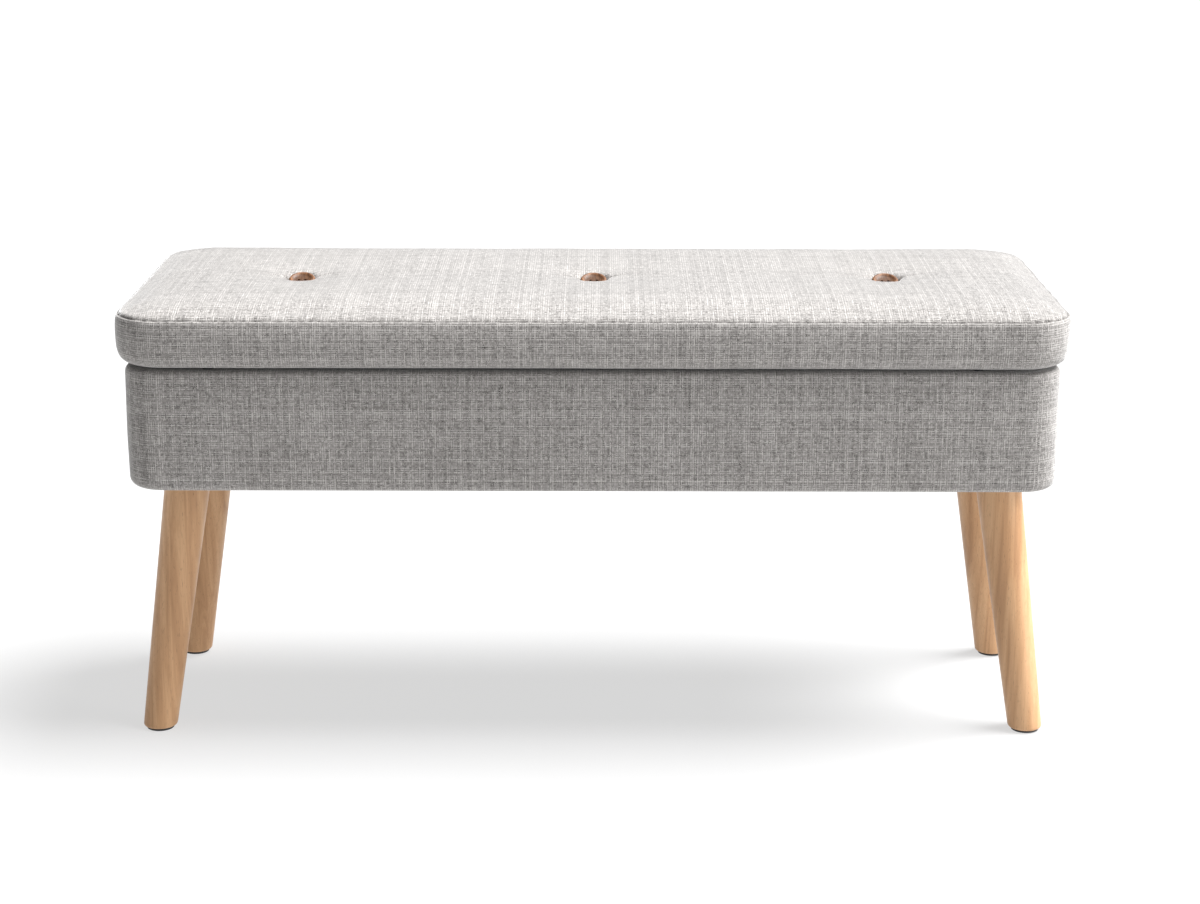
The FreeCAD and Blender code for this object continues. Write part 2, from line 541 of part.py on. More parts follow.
# ---------------------------------------------------------------- lid stays
# The arm is as long as its pivot is far from the hinge, so its stud stays on a straight line through
# the hinge, and the arm turns on the lid at exactly twice the lid's own rate.
bracket_screws, track_screws, tracks = [], [], []
for side, to_right in SIDES.items():
    outward, inward = ("+X", "-X") if to_right > 0 else ("-X", "+X")

    def across(text):
        """A distance from the middle of the bench, on this stay's side."""
        return f"{to_right} * ({text})"

    arm_x = across("arm_face_x - arm_thickness / 2")
    pivot = (arm_x, "pivot_y", "pivot_z")
    stud_reach = "arm_thickness + groove_depth"
    stud_y = "hinge_y - stud_closed * cos(stay_slope)"
    stud_z = "hinge_z - stud_closed * sin(stay_slope)"
    stud = rod(f"stay_stud_{side}", "stud_radius", stud_reach,
               (across("arm_face_x - arm_thickness"), stud_y, stud_z), outward)
    part(f"stay_stud_{side}", stud)
    pivot_hole = rod(f"stay_arm_hole_{side}", "rivet_radius + running_clear", "arm_thickness",
                     (across("arm_face_x - arm_thickness"), "pivot_y", "pivot_z"), outward)
    arm = strip(f"stay_arm_blank_{side}", "stay_arm", "stay_end_radius", "arm_thickness", pivot,
                "(stay_drop + 2 * stay_fold) * 1deg")
    part(f"stay_arm_{side}", cut(f"stay_arm_{side}", arm, stud, pivot_hole))

    ear_inner_x = "ear_face_x - bracket_thickness"
    head_outer = rod(f"rivet_outer_head_{side}", "rivet_head_radius", "rivet_head",
                     (across("arm_face_x + rivet_gap"), "pivot_y", "pivot_z"), outward)
    shank = rod(f"rivet_shank_{side}", "rivet_radius", f"arm_face_x + rivet_gap - ({ear_inner_x})",
                (across(ear_inner_x), "pivot_y", "pivot_z"), outward)
    head_inner = rod(f"rivet_inner_head_{side}", "rivet_head_radius", "rivet_head",
                     (across(ear_inner_x), "pivot_y", "pivot_z"), inward)
    part(f"stay_rivet_{side}", fuse(f"stay_rivet_{side}", [head_outer, shank, head_inner]))

    flange_x = across("ear_face_x - bracket_width / 2")
    flange = block(f"bracket_flange_{side}", ("bracket_width", "bracket_length", "bracket_thickness"),
                   (flange_x, "pivot_y", "lid_bottom - bracket_thickness"))
    ear = block(f"bracket_ear_{side}", ("bracket_thickness", "2 * stay_end_radius", "lid_bottom - pivot_z"),
                (across("ear_face_x - bracket_thickness / 2"), "pivot_y", "pivot_z"))
    ear_end = rod(f"bracket_ear_end_{side}", "stay_end_radius", "bracket_thickness",
                  (across(ear_inner_x), "pivot_y", "pivot_z"), outward)
    screws = [screw(f"bracket_screw_{side}", "wood_screw", "wood_head", "bracket_thickness",
                    "lid_screw_length", (flange_x, f"pivot_y + {step} * bracket_screw_pitch / 2",
                                         "lid_bottom - bracket_thickness"), "+Z")
              for step in (-1, 1)]
    bracket_screws += screws
    bracket_blank = fuse(f"bracket_blank_{side}", [flange, ear, ear_end])
    part(f"stay_bracket_{side}",
         cut(f"stay_bracket_{side}", bracket_blank, shank, group(f"bracket_holes_{side}", screws)))

    track_start, track_reach = "stud_open - track_end / 2", "stud_closed - stud_open + track_end"
    track = strip(f"track_blank_{side}", track_reach, "track_radius", "track_thickness",
                  (across("stay_wall_x - track_thickness / 2"),
                   f"hinge_y - ({track_start}) * cos(stay_slope)",
                   f"hinge_z - ({track_start}) * sin(stay_slope)"), "stay_slope")
    groove = strip(f"track_groove_{side}", "stud_closed - stud_open", "stud_radius + stud_clear",
                   "groove_depth", (across("track_face_x + groove_depth / 2"),
                                    "hinge_y - stud_open * cos(stay_slope)",
                                    "hinge_z - stud_open * sin(stay_slope)"), "stay_slope")
    screws = []
    for travel in ("stud_open - track_screw_inset", "stud_closed + track_screw_inset"):
        spot = (across("track_face_x"), f"hinge_y - ({travel}) * cos(stay_slope)",
                f"hinge_z - ({travel}) * sin(stay_slope)")
        screws.append(screw(f"track_screw_{side}", "wood_screw", "wood_head", "wood_screw",
                            "track_screw_length", spot, outward))
    tracks.append(track)
    track_screws += screws
    part(f"stay_track_{side}",
         cut(f"stay_track_{side}", track, groove, group(f"track_holes_{side}", screws)))
bracket_screws = part("stay_bracket_screws", group("stay_bracket_screws", bracket_screws))
track_screws = part("stay_track_screws", group("stay_track_screws", track_screws))
track_rebates = group("track_rebates", tracks)

# ---------------------------------------------------------------- the box
# The walls are one rounded ring, cut where its corners begin into four panels and four corner blocks.
# The wadding round them is cut the same way.
REGIONS = {}
for end, toward_back in ENDS.items():
    REGIONS[end] = (("2 * straight_x", "box_corner"), (0, f"{toward_back} * (straight_y + box_corner / 2)"))
for side, to_right in SIDES.items():
    REGIONS[side] = (("box_corner", "2 * straight_y"), (f"{to_right} * (straight_x + box_corner / 2)", 0))
for corner, _, _, x, y in corners("(straight_x + box_corner / 2)", "(straight_y + box_corner / 2)"):
    REGIONS[corner] = (("box_corner", "box_corner"), (x, y))


def region_of(name, ring, region):
    """The part of a ring that lies in one of the eight regions."""
    (length, width), (x, y) = REGIONS[region]
    return common(name, ring, block(f"{name}_region", (length, width, "box_height"), (x, y, "leg_height")))


carcass = slab("carcass", "carcass_length", "carcass_depth", "carcass_corner", "base_top", "wall_height")
hollow = slab("hollow", "inside_length", "inside_depth", "inside_corner", "base_top", "wall_height")
walls = cut("walls", carcass, hollow)

dowels = []
for end, toward_back in ENDS.items():
    for side, to_right in SIDES.items():
        for height in ("base_top + dowel_inset", "rim_top - dowel_inset"):
            dowels.append(rod("dowel", "dowel_radius", "dowel_length",
                              (f"{to_right} * straight_x - dowel_length / 2", f"{toward_back} * wall_line_y",
                               height), "+X"))
            dowels.append(rod("dowel", "dowel_radius", "dowel_length",
                              (f"{to_right} * wall_line_x", f"{toward_back} * straight_y - dowel_length / 2",
                               height), "+Y"))
dowels = part("panel_dowels", group("panel_dowels", dowels))

for end in ENDS:
    panel = cut(f"{end}_panel", region_of(f"{end}_panel_blank", walls, end), dowels)
    if end == "back":
        panel = cut(f"{end}_panel", panel, hinge_screws["box"])
    part(f"{end}_panel", panel)
for side in SIDES:
    part(f"{side}_end_panel", cut(f"{side}_end_panel", region_of(f"{side}_panel_blank", walls, side), dowels,
                                  track_screws))
# A back corner block is let in for a track that reaches as far as its curve.
for corner in (region for region in REGIONS if "_" in region):
    block_blank = region_of(f"corner_block_blank_{corner}", walls, corner)
    let_in = [track_rebates, track_screws] if corner.startswith("back") else []
    part(f"corner_block_{corner}", cut(f"corner_block_{corner}", block_blank, dowels, *let_in))

base_blank = slab("base_blank", "carcass_length", "carcass_depth", "carcass_corner", "base_bottom",
                  "base_board", bottom_round="base_round")
part("base_panel", cut("base_panel", base_blank, leg_bolts, plate_screws))

cavity = slab("cover_cavity", "box_length - 2 * cover", "box_depth - 2 * cover", "box_corner - cover",
              "base_bottom", "rim_top - base_bottom", bottom_round="box_roll - cover")
wadding = cut("wadding", cavity, base_blank, carcass)
part("box_padding",
     group("box_padding", [region_of(f"padding_{region}", wadding, region) for region in REGIONS]))

box_skin = slab("box_skin", "box_length", "box_depth", "box_corner", "leg_height", "box_height",
                bottom_round="box_roll")
mouth = slab("box_mouth", "inside_length", "inside_depth", "inside_corner", "rim_top", "cover")
under_hem = slab("box_under_hem", "box_length - 2 * box_hem", "box_depth - 2 * box_hem",
                 "box_corner - box_hem", "leg_height", "cover")
part("box_cover",
     cut("box_cover", box_skin, cavity, mouth, under_hem, hinge_screws["box"], plate_windows))
part("dust_cover", cut("dust_cover", under_hem, plate_windows))

lining_skin = slab("lining_skin", "inside_length", "inside_depth", "inside_corner", "base_top",
                   "wall_height - lining_drop")
lining_hollow = slab("lining_hollow", "inside_length - 2 * lining", "inside_depth - 2 * lining",
                     "inside_corner - lining", "base_top + lining", "wall_height")
part("box_lining", cut("box_lining", lining_skin, lining_hollow, track_screws, track_rebates))

bumpers = [rod("bumper", "bumper_radius", "lid_gap - bumper_clear", (x, y, "box_top"))
           for _, _, _, x, y in corners("(straight_x - bumper_inset)", "wall_line_y")]
part("rim_bumpers", group("rim_bumpers", bumpers))

# ---------------------------------------------------------------- the lid
BUTTONS = {"left": -1, "middle": 0, "right": 1}
dimples, dimple_undersides, tufts, anchors = [], [], [], []
for spot, step in BUTTONS.items():
    x = f"{step} * button_spacing"
    button = doc.addObject("PartDesign::Body", f"button_{spot}")
    face_sketch = new_sketch(button, "XY_Plane")
    rim = draw_circle(face_sketch, "button_radius")
    face_sketch.addConstraint(Sketcher.Constraint("Coincident", rim, 3, -1, 1))
    pad(button, face_sketch, "button_thickness")
    round_rim(button, "bottom", "button_round")
    round_rim(button, "top", "button_round")
    dish_sketch = new_sketch(button, "XY_Plane", "button_thickness")
    dish = draw_circle(dish_sketch, "dish_radius")
    dish_sketch.addConstraint(Sketcher.Constraint("Coincident", dish, 3, -1, 1))
    pocket(button, dish_sketch, "dish_depth")
    eye_sketch = new_sketch(button, "XY_Plane", "button_thickness")
    eyes = [draw_circle(eye_sketch, "eye_radius", way * number("eye_spacing") / 2) for way in (-1, 1)]
    eye_sketch.addConstraint(Sketcher.Constraint("Symmetric", eyes[0], 3, eyes[1], 3, -1, 1))
    eye_sketch.addConstraint(Sketcher.Constraint("Horizontal", eyes[0], 3, eyes[1], 3))
    constrain(eye_sketch, "spacing", "eye_spacing", "DistanceX", eyes[0], 3, eyes[1], 3)
    pocket(button, eye_sketch, "button_thickness")
    lean(button, (x, 0, "button_base"), "button_tilt")
    part(f"button_{spot}", button)

    for name, kept, drop in (("dimple", dimples, "0"), ("dimple_underside", dimple_undersides, "cover")):
        cone = doc.addObject("Part::Cone", f"{name}_{spot}")
        bind(cone, Radius1=f"dimple_floor + {drop}", Radius2=f"dimple_mouth + {drop}", Height="dimple_depth")
        place(cone, (x, 0, f"lid_top - dimple_depth - {drop}"))
        kept.append(cone)
    tufts.append(rod(f"tuft_{spot}", "tuft_radius",
                     "button_base - tuft_gap - lid_board_bottom - anchor_thickness",
                     (x, 0, "lid_board_bottom + anchor_thickness")))
    anchors.append(rod(f"anchor_{spot}", "anchor_radius", "anchor_thickness", (x, 0, "lid_board_bottom")))
tufts = part("tuft_twines", group("tuft_twines", tufts))
anchors = part("tuft_anchors", group("tuft_anchors", anchors))

lid_screws = [hinge_screws["lid"], bracket_screws]
board_blank = slab("board_blank", "lid_length - 2 * lid_board_inset", "lid_depth - 2 * lid_board_inset",
                   "lid_corner - lid_board_inset", "lid_board_bottom", "lid_board",
                   bottom_round="lid_tuck - lid_board_inset")
part("lid_board", cut("lid_board", board_blank, tufts, anchors, *lid_screws))

stuffing = slab("lid_stuffing", "lid_length - 2 * cover", "lid_depth - 2 * cover", "lid_corner - cover",
                "lid_board_bottom", "lid_side + lid_crown - 2 * cover",
                bottom_round="lid_tuck - cover", top_round="lid_crown - cover")
dimpled_stuffing = cut("dimpled_stuffing", stuffing, group("dimple_undersides", dimple_undersides))
part("lid_cushion", cut("lid_cushion", dimpled_stuffing, board_blank, tufts))

lid_skin = slab("lid_skin", "lid_length", "lid_depth", "lid_corner", "lid_bottom", "lid_side + lid_crown",
                bottom_round="lid_tuck", top_round="lid_crown")
lid_mouth = slab("lid_mouth", "lid_length - 2 * lid_hem", "lid_depth - 2 * lid_hem", "lid_corner - lid_hem",
                 "lid_bottom", "cover")
part("lid_cover", cut("lid_cover", lid_skin, group("dimples", dimples), dimpled_stuffing, lid_mouth, tufts,
                      hinge_screws["lid"]))
part("lid_lining", cut("lid_lining", lid_mouth, bracket_screws))

# ---------------------------------------------------------------- check, then write
doc.recompute()
broken = [thing.Label for thing in doc.Objects if {"Invalid", "Error"} & set(thing.State)]
if broken:
    raise RuntimeError(f"these did not recompute: {broken}")
labels = [thing.Label for thing in parts]
if len(set(labels)) != len(labels):
    raise RuntimeError("two sub-parts share a label")
for thing in parts:
    if thing.Shape.isNull() or not thing.Shape.isValid() or not thing.Shape.Solids:
        raise RuntimeError(f"{thing.Label} is not a valid solid")

os.makedirs("parts", exist_ok=True)
for thing in parts:
    thing.Shape.exportStep(f"parts/{thing.Label}.step")
print(len(parts), "sub-parts; arm pivot at y", round(number("pivot_y"), 3), "z", round(number("pivot_z"), 3),
      "stud travel", round(number("stud_open"), 2), "to", round(number("stud_closed"), 2))
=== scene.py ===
"""Looks of the upholstered storage bench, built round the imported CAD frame. Metres, Z up."""
import json
import math

import bpy
import numpy as np
from mathutils import Matrix, Vector, noise


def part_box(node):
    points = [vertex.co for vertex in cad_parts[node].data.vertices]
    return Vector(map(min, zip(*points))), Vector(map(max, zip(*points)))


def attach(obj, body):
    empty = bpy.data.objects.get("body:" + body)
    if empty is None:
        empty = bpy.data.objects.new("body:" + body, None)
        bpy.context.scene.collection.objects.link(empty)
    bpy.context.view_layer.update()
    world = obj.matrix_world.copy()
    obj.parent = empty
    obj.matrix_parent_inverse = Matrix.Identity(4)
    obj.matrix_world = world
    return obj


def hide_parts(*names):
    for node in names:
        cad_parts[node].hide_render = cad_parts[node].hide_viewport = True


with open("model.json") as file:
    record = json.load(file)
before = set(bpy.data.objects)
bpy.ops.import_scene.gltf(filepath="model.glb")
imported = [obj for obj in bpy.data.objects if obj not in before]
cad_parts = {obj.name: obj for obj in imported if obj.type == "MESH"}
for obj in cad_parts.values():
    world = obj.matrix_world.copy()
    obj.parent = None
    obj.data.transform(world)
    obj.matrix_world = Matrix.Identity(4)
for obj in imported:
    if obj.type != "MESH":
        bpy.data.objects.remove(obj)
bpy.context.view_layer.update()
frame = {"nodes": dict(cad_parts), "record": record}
MM = 0.001

# ---------------------------------------------------------------- places, from the frame
LID_LOW, LID_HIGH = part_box("lid_cover")
BOX_LOW, BOX_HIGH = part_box("box_cover")
LID_LINING_LOW, LID_LINING_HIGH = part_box("lid_lining")
DUST_LOW, DUST_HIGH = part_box("dust_cover")
LINING_LOW, LINING_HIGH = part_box("box_lining")
CARCASS_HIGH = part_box("base_panel")[1]
LID_LENGTH, LID_DEPTH = LID_HIGH.x - LID_LOW.x, LID_HIGH.y - LID_LOW.y
BOX_LENGTH, BOX_DEPTH = BOX_HIGH.x - BOX_LOW.x, BOX_HIGH.y - BOX_LOW.y
LID_CORNER = 55 * MM
BOX_CORNER = 40 * MM
BOX_ROLL = 10 * MM
LID_CROWN = 12 * MM
YARN_PITCH = 1.2 * MM  # every other yarn is paler, so the weave repeats every 2.4 mm
SEAM_Z = LID_HIGH.z - LID_CROWN
BUTTONS = ("button_left", "button_middle", "button_right")
CORNERS = [f"{end}_{side}" for end in ("front", "back") for side in ("left", "right")]


# ---------------------------------------------------------------- camera
CAMERA_PLACE = (0.0102, -2.6677, 1.0051)
CAMERA_TURN = (-0.058, 15.18, 0.11)  # yaw, downward pitch and roll, in degrees
CAMERA_LENS = 73.87  # mm, for a sensor 36 mm wide


def make_camera():
    yaw, pitch, roll = (math.radians(turned) for turned in CAMERA_TURN)
    data = bpy.data.cameras.new("camera")
    data.sensor_width = 36
    data.lens = CAMERA_LENS
    camera = bpy.data.objects.new("camera", data)
    turn = (Matrix.Rotation(-yaw, 4, "Z") @ Matrix.Rotation(math.pi / 2 - pitch, 4, "X")
            @ Matrix.Rotation(roll, 4, "Z"))
    camera.matrix_world = Matrix.Translation(CAMERA_PLACE) @ turn
    bpy.context.scene.collection.objects.link(camera)
    bpy.context.scene.camera = camera


# ---------------------------------------------------------------- light
WORLD_STRENGTH, KEY_STRENGTH, FILL_POWER, FLOOR_GLOW = 0.22, 9.3, 22.0, 0.63


# ---------------------------------------------------------------- shader helpers
class Graph:
    """A material's node tree, written as short calls."""

    def __init__(self, name):
        self.material = bpy.data.materials.new(name)
        self.material.use_nodes = True
        self.tree = self.material.node_tree
        self.shader = self.tree.nodes["Principled BSDF"]

    def node(self, kind, **settings):
        made = self.tree.nodes.new(kind)
        for key, value in settings.items():
            setattr(made, key, value)
        return made

    def feed(self, socket, value):
        """A number, a colour or another node's output, into a socket."""
        if isinstance(value, bpy.types.NodeSocket):
            self.tree.links.new(value, socket)
        else:
            socket.default_value = value

    def math(self, operation, first, second=0.0, clamp=False):
        made = self.node("ShaderNodeMath", operation=operation, use_clamp=clamp)
        self.feed(made.inputs[0], first)
        self.feed(made.inputs[1], second)
        return made.outputs[0]

    def mix(self, share, first, second):
        made = self.node("ShaderNodeMix", data_type="RGBA")
        self.feed(made.inputs[0], share)
        self.feed(made.inputs[6], first)
        self.feed(made.inputs[7], second)
        return made.outputs[2]

    def join(self, x, y, z=0.0):
        made = self.node("ShaderNodeCombineXYZ")
        for socket, value in zip(made.inputs, (x, y, z)):
            self.feed(socket, value)
        return made.outputs[0]

    def noise(self, vector, scale=1.0, detail=2.0, rough=0.5, distortion=0.0):
        made = self.node("ShaderNodeTexNoise")
        self.feed(made.inputs["Vector"], vector)
        for key, value in (("Scale", scale), ("Detail", detail), ("Roughness", rough),
                           ("Distortion", distortion)):
            made.inputs[key].default_value = value
        return made.outputs["Fac"]

    def ramp(self, value, *stops):
        """A colour ramp: stops are (position, colour)."""
        made = self.node("ShaderNodeValToRGB")
        while len(made.color_ramp.elements) < len(stops):
            made.color_ramp.elements.new(0.5)
        for element, (position, colour) in zip(made.color_ramp.elements, stops):
            element.position, element.color = position, (*colour, 1)
        self.feed(made.inputs[0], value)
        return made.outputs[0]

    def level(self, value, low, high, to_low=0.0, to_high=1.0):
        made = self.node("ShaderNodeMapRange")
        self.feed(made.inputs[0], value)
        for socket, number in zip(list(made.inputs)[1:5], (low, high, to_low, to_high)):
            socket.default_value = number
        return made.outputs[0]

    def split(self, vector):
        made = self.node("ShaderNodeSeparateXYZ")
        self.feed(made.inputs[0], vector)
        return made.outputs

    def bump(self, height, distance, strength=1.0):
        made = self.node("ShaderNodeBump")
        self.feed(made.inputs["Height"], height)
        made.inputs["Distance"].default_value = distance
        made.inputs["Strength"].default_value = strength
        self.tree.links.new(made.outputs[0], self.shader.inputs["Normal"])

    def finish(self, colour=None, **values):
        """Constants go straight onto the shader's own sockets."""
        if colour is not None:
            self.feed(self.shader.inputs["Base Color"], colour)
        for key, value in values.items():
            self.feed(self.shader.inputs[key.replace("_", " ")], value)
        return self.material


def object_place(graph):
    return graph.node("ShaderNodeTexCoord").outputs["Object"]


# ---------------------------------------------------------------- materials
def woven(name, pitch, dark, light, sheen):
    """A plain weave of slubby yarns. It follows the cloth's own coordinates, in metres, that each
    upholstered mesh carries in its attribute "weave"."""
    g = Graph(name)
    cloth = g.node("ShaderNodeAttribute", attribute_name="weave").outputs["Vector"]
    wobble = g.noise(cloth, 90.0, 2.0)
    u, v, _ = g.split(cloth)
    u = g.math("ADD", u, g.math("MULTIPLY", g.math("SUBTRACT", wobble, 0.5), pitch * 0.9))
    v = g.math("ADD", v, g.math("MULTIPLY", g.math("SUBTRACT", wobble, 0.5), pitch * 0.7))
    across_warp, across_weft = g.math("DIVIDE", u, pitch), g.math("DIVIDE", v, pitch)
    warp_index, weft_index = g.math("FLOOR", across_warp), g.math("FLOOR", across_weft)

    def yarn(index, along, seed):
        """One yarn's own tone, changing slowly along it, with a random tone for each yarn."""
        lane = g.math("MULTIPLY", index, 3.731)
        slow = g.noise(g.join(lane, g.math("MULTIPLY", along, 75.0), seed), 1.0, 2.0, 0.6)
        fine = g.noise(g.join(lane, g.math("MULTIPLY", along, 320.0), seed + 9.0), 1.0, 1.0)
        own = g.node("ShaderNodeTexWhiteNoise", noise_dimensions="2D")
        g.feed(own.inputs["Vector"], g.join(index, seed))
        tone = g.math("ADD", g.math("MULTIPLY", slow, 0.8), g.math("MULTIPLY", fine, 0.7))
        tone = g.math("ADD", tone, g.math("MULTIPLY", own.outputs["Value"], 0.2))
        return g.level(tone, 0.42, 1.4)

    def pale_yarn(index, tone):
        """Every other yarn is paler, more so where it is thick."""
        every_other = g.math("MODULO", g.math("ADD", index, 20000.0), 2.0)
        return g.math("MULTIPLY", every_other, g.level(tone, 0.25, 0.7, 0.0, 0.3))

    warp_tone, weft_tone = yarn(warp_index, v, 2.0), yarn(weft_index, u, 5.0)
    warp_over = g.math("GREATER_THAN", g.math("MODULO", g.math("ADD", g.math("ADD", warp_index, weft_index),
                                                                 20000.0), 2.0), 0.5)

    def crown(lane):
        """The yarn's round section: 1 along its middle, 0 at its edges."""
        return g.math("SINE", g.math("MULTIPLY", g.math("FRACT", lane), math.pi))

    warp_crown, weft_crown = crown(across_warp), crown(across_weft)
    tone = g.math("ADD", g.math("MULTIPLY", warp_over, warp_tone),
                  g.math("MULTIPLY", g.math("SUBTRACT", 1.0, warp_over), weft_tone))
    paler = g.math("ADD", pale_yarn(warp_index, warp_tone), pale_yarn(weft_index, weft_tone))
    tone = g.math("ADD", tone, paler)
    top = g.math("ADD", g.math("MULTIPLY", warp_over, warp_crown),
                 g.math("MULTIPLY", g.math("SUBTRACT", 1.0, warp_over), weft_crown))
    height = g.math("MULTIPLY", warp_crown, weft_crown)
    # Painted shade: each yarn darker towards its edges and between yarns, where its round section turns away
    # from the light.
    painted_yarn_edge_shade = g.level(top, 0.0, 0.6, 0.5, 1.0)
    mottle_and_seam_crease_shade = g.level(g.noise(cloth, 17.0, 3.0), 0.3, 0.7, 0.955, 1.045)
    # Painted shade: the cloth is darkened by up to three quarters along the seam groove and the creases
    # beside the buttons, as the lid mesh's point attribute gives.
    painted_seam_crease_shade = g.node("ShaderNodeAttribute", attribute_name="painted_seam_crease_shade").outputs["Fac"]
    mottle_and_seam_crease_shade = g.math("MULTIPLY", mottle_and_seam_crease_shade, g.math("SUBTRACT", 1.0, g.math("MULTIPLY", painted_seam_crease_shade, 0.75)))
    shade = g.math("MULTIPLY", g.math("MULTIPLY", tone, painted_yarn_edge_shade), mottle_and_seam_crease_shade)
    colour = g.ramp(shade, (0.0, dark), (0.5, tuple((a + b) / 2 for a, b in zip(dark, light))),
                    (1.0, light))
    g.bump(g.math("ADD", g.math("MULTIPLY", height, 0.6), g.math("MULTIPLY", tone, 0.5)), 0.25 * MM, 0.35)
    return g.finish(colour, Roughness=0.88, Sheen_Weight=sheen, Sheen_Roughness=0.35,
                    Specular_IOR_Level=0.15)


def turned_wood(name, pale, mid, dark, flecks=0.35, scale=1.0, roughness=0.42, hollow_shade_within=None):
    """Wood whose grain runs along the piece's own Z axis, darkened by painted shade inside a radius, as in a
    hollow.
    """
    g = Graph(name)
    x, y, z = g.split(object_place(g))
    warp = g.noise(g.join(g.math("MULTIPLY", x, 9.0), g.math("MULTIPLY", y, 9.0), g.math("MULTIPLY", z, 2.2)),
                   1.0, 3.0)
    rings = g.noise(g.join(g.math("MULTIPLY", x, 120.0 * scale),
                           g.math("ADD", g.math("MULTIPLY", y, 46.0 * scale), g.math("MULTIPLY", warp, 5.0)),
                           g.math("MULTIPLY", z, 3.4)), 1.0, 3.0, 0.6, 0.6)
    fibre = g.noise(g.join(g.math("MULTIPLY", x, 900.0), g.math("MULTIPLY", y, 900.0),
                           g.math("MULTIPLY", z, 22.0)), 1.0, 2.0, 0.6)
    pore = g.noise(g.join(g.math("MULTIPLY", x, 1500.0), g.math("MULTIPLY", y, 1500.0),
                          g.math("MULTIPLY", z, 130.0)), 1.0, 1.0, 0.5)
    body = g.ramp(rings, (0.28, dark), (0.46, mid), (0.62, pale))
    streaked = g.mix(g.level(fibre, 0.35, 0.75, 0.0, 0.32), body, (*dark, 1))
    spots = g.level(pore, 0.66, 0.74, 0.0, flecks)
    colour = g.mix(spots, streaked, (*[0.45 * value for value in dark], 1))
    if hollow_shade_within:
        # Painted shade in the button's hollow: darker inside the given radius.
        radius = g.math("SQRT", g.math("ADD", g.math("POWER", x, 2.0), g.math("POWER", y, 2.0)))
        painted_hollow_shade = g.level(radius, hollow_shade_within - 0.8 * MM, hollow_shade_within + 0.6 * MM, 0.62, 0.0)
        colour = g.mix(painted_hollow_shade, colour, (*[0.3 * value for value in dark], 1))
    g.bump(g.math("SUBTRACT", g.math("MULTIPLY", fibre, 0.5), spots), 0.08 * MM, 0.35)
    return g.finish(colour, Roughness=g.level(fibre, 0.3, 0.8, roughness - 0.05, roughness + 0.12),
                    Specular_IOR_Level=0.4)


def sheet_wood(name, face, edge):
    """Plywood and board, with faint long grain."""
    g = Graph(name)
    x, y, z = g.split(object_place(g))
    grain = g.noise(g.join(g.math("MULTIPLY", x, 6.0), g.math("MULTIPLY", y, 110.0),
                           g.math("MULTIPLY", z, 110.0)), 1.0, 4.0, 0.6, 0.4)
    plies = g.math("SINE", g.math("MULTIPLY", z, 2 * math.pi / (3 * MM)))
    colour = g.mix(g.level(plies, -1.0, 1.0, 0.0, 0.3), g.ramp(grain, (0.3, edge), (0.65, face)), (*edge, 1))
    g.bump(grain, 0.1 * MM, 0.3)
    return g.finish(colour, Roughness=0.7)


def felted(name, dark, light, weight=1.0):
    """Non-woven or brushed cloth, a tangle of short fibres."""
    g = Graph(name)
    place = object_place(g)
    tangle = g.noise(place, 900.0, 3.0, 0.7, 1.5)
    cloud = g.noise(place, 40.0, 3.0)
    shade = g.math("ADD", g.math("MULTIPLY", tangle, 0.7), g.math("MULTIPLY", cloud, 0.3))
    g.bump(tangle, 0.2 * MM, 0.5 * weight)
    return g.finish(g.ramp(shade, (0.3, dark), (0.7, light)), Roughness=0.95, Sheen_Weight=0.25,
                    Sheen_Roughness=0.5, Specular_IOR_Level=0.1)


def plated_steel(name):
    g = Graph(name)
    place = object_place(g)
    brushed = g.noise(g.join(*[g.math("MULTIPLY", axis, factor)
                               for axis, factor in zip(g.split(place), (150.0, 1400.0, 1400.0))]), 1.0, 2.0)
    cloud = g.noise(place, 60.0, 3.0)
    colour = g.ramp(cloud, (0.3, (0.52, 0.52, 0.50)), (0.7, (0.68, 0.68, 0.66)))
    g.bump(brushed, 0.03 * MM, 0.25)
    return g.finish(colour, Metallic=1.0, Roughness=g.level(brushed, 0.3, 0.7, 0.28, 0.42))


def moulded(name, dark, light, roughness):
    """Moulded plastic or rubber, very slightly grained."""
    g = Graph(name)
    place = object_place(g)
    grain = g.noise(place, 1500.0, 2.0)
    g.bump(grain, 0.04 * MM, 0.3)
    return g.finish(g.ramp(g.noise(place, 80.0, 2.0), (0.3, dark), (0.7, light)), Roughness=roughness)


def twisted_twine(name):
    g = Graph(name)
    x, _, z = g.split(object_place(g))
    lay = g.math("SINE", g.math("ADD", g.math("MULTIPLY", z, 2600.0), g.math("MULTIPLY", x, 2400.0)))
    g.bump(lay, 0.1 * MM, 0.6)
    return g.finish(g.ramp(g.level(lay, -1.0, 1.0), (0.0, (0.42, 0.36, 0.27)), (1.0, (0.72, 0.66, 0.54))),
                    Roughness=0.85, Sheen_Weight=0.2)


def pale_floor():
    g = Graph("floor")
    speckle = g.noise(object_place(g), 3.0, 2.0)
    return g.finish(g.ramp(speckle, (0.3, (0.2, 0.2, 0.2)), (0.7, (0.205, 0.205, 0.205))), Roughness=0.8,
                    Specular_IOR_Level=0.1, Emission_Color=(1, 1, 1, 1), Emission_Strength=FLOOR_GLOW)


# ---------------------------------------------------------------- mesh building
def rounded_grid(length, depth, corner, columns, rows):
    """A grid over a rounded rectangle. columns and rows are shares of the half length and half depth in
    each corner block and between them; each corner block's square is bent onto a quarter disc."""
    x, y = np.meshgrid(columns, rows, indexing="ij")
    half_x, half_y = length / 2 - corner, depth / 2 - corner

    def spread(share, half):
        return np.where(np.abs(share) <= 1, share * half, np.sign(share) * half)

    base_x, base_y = spread(x, half_x), spread(y, half_y)
    in_x, in_y = np.clip(np.abs(x) - 1, 0, 1), np.clip(np.abs(y) - 1, 0, 1)
    bent_x = in_x * np.sqrt(1 - in_y ** 2 / 2)
    bent_y = in_y * np.sqrt(1 - in_x ** 2 / 2)
    return base_x + np.sign(x) * bent_x * corner, base_y + np.sign(y) * bent_y * corner


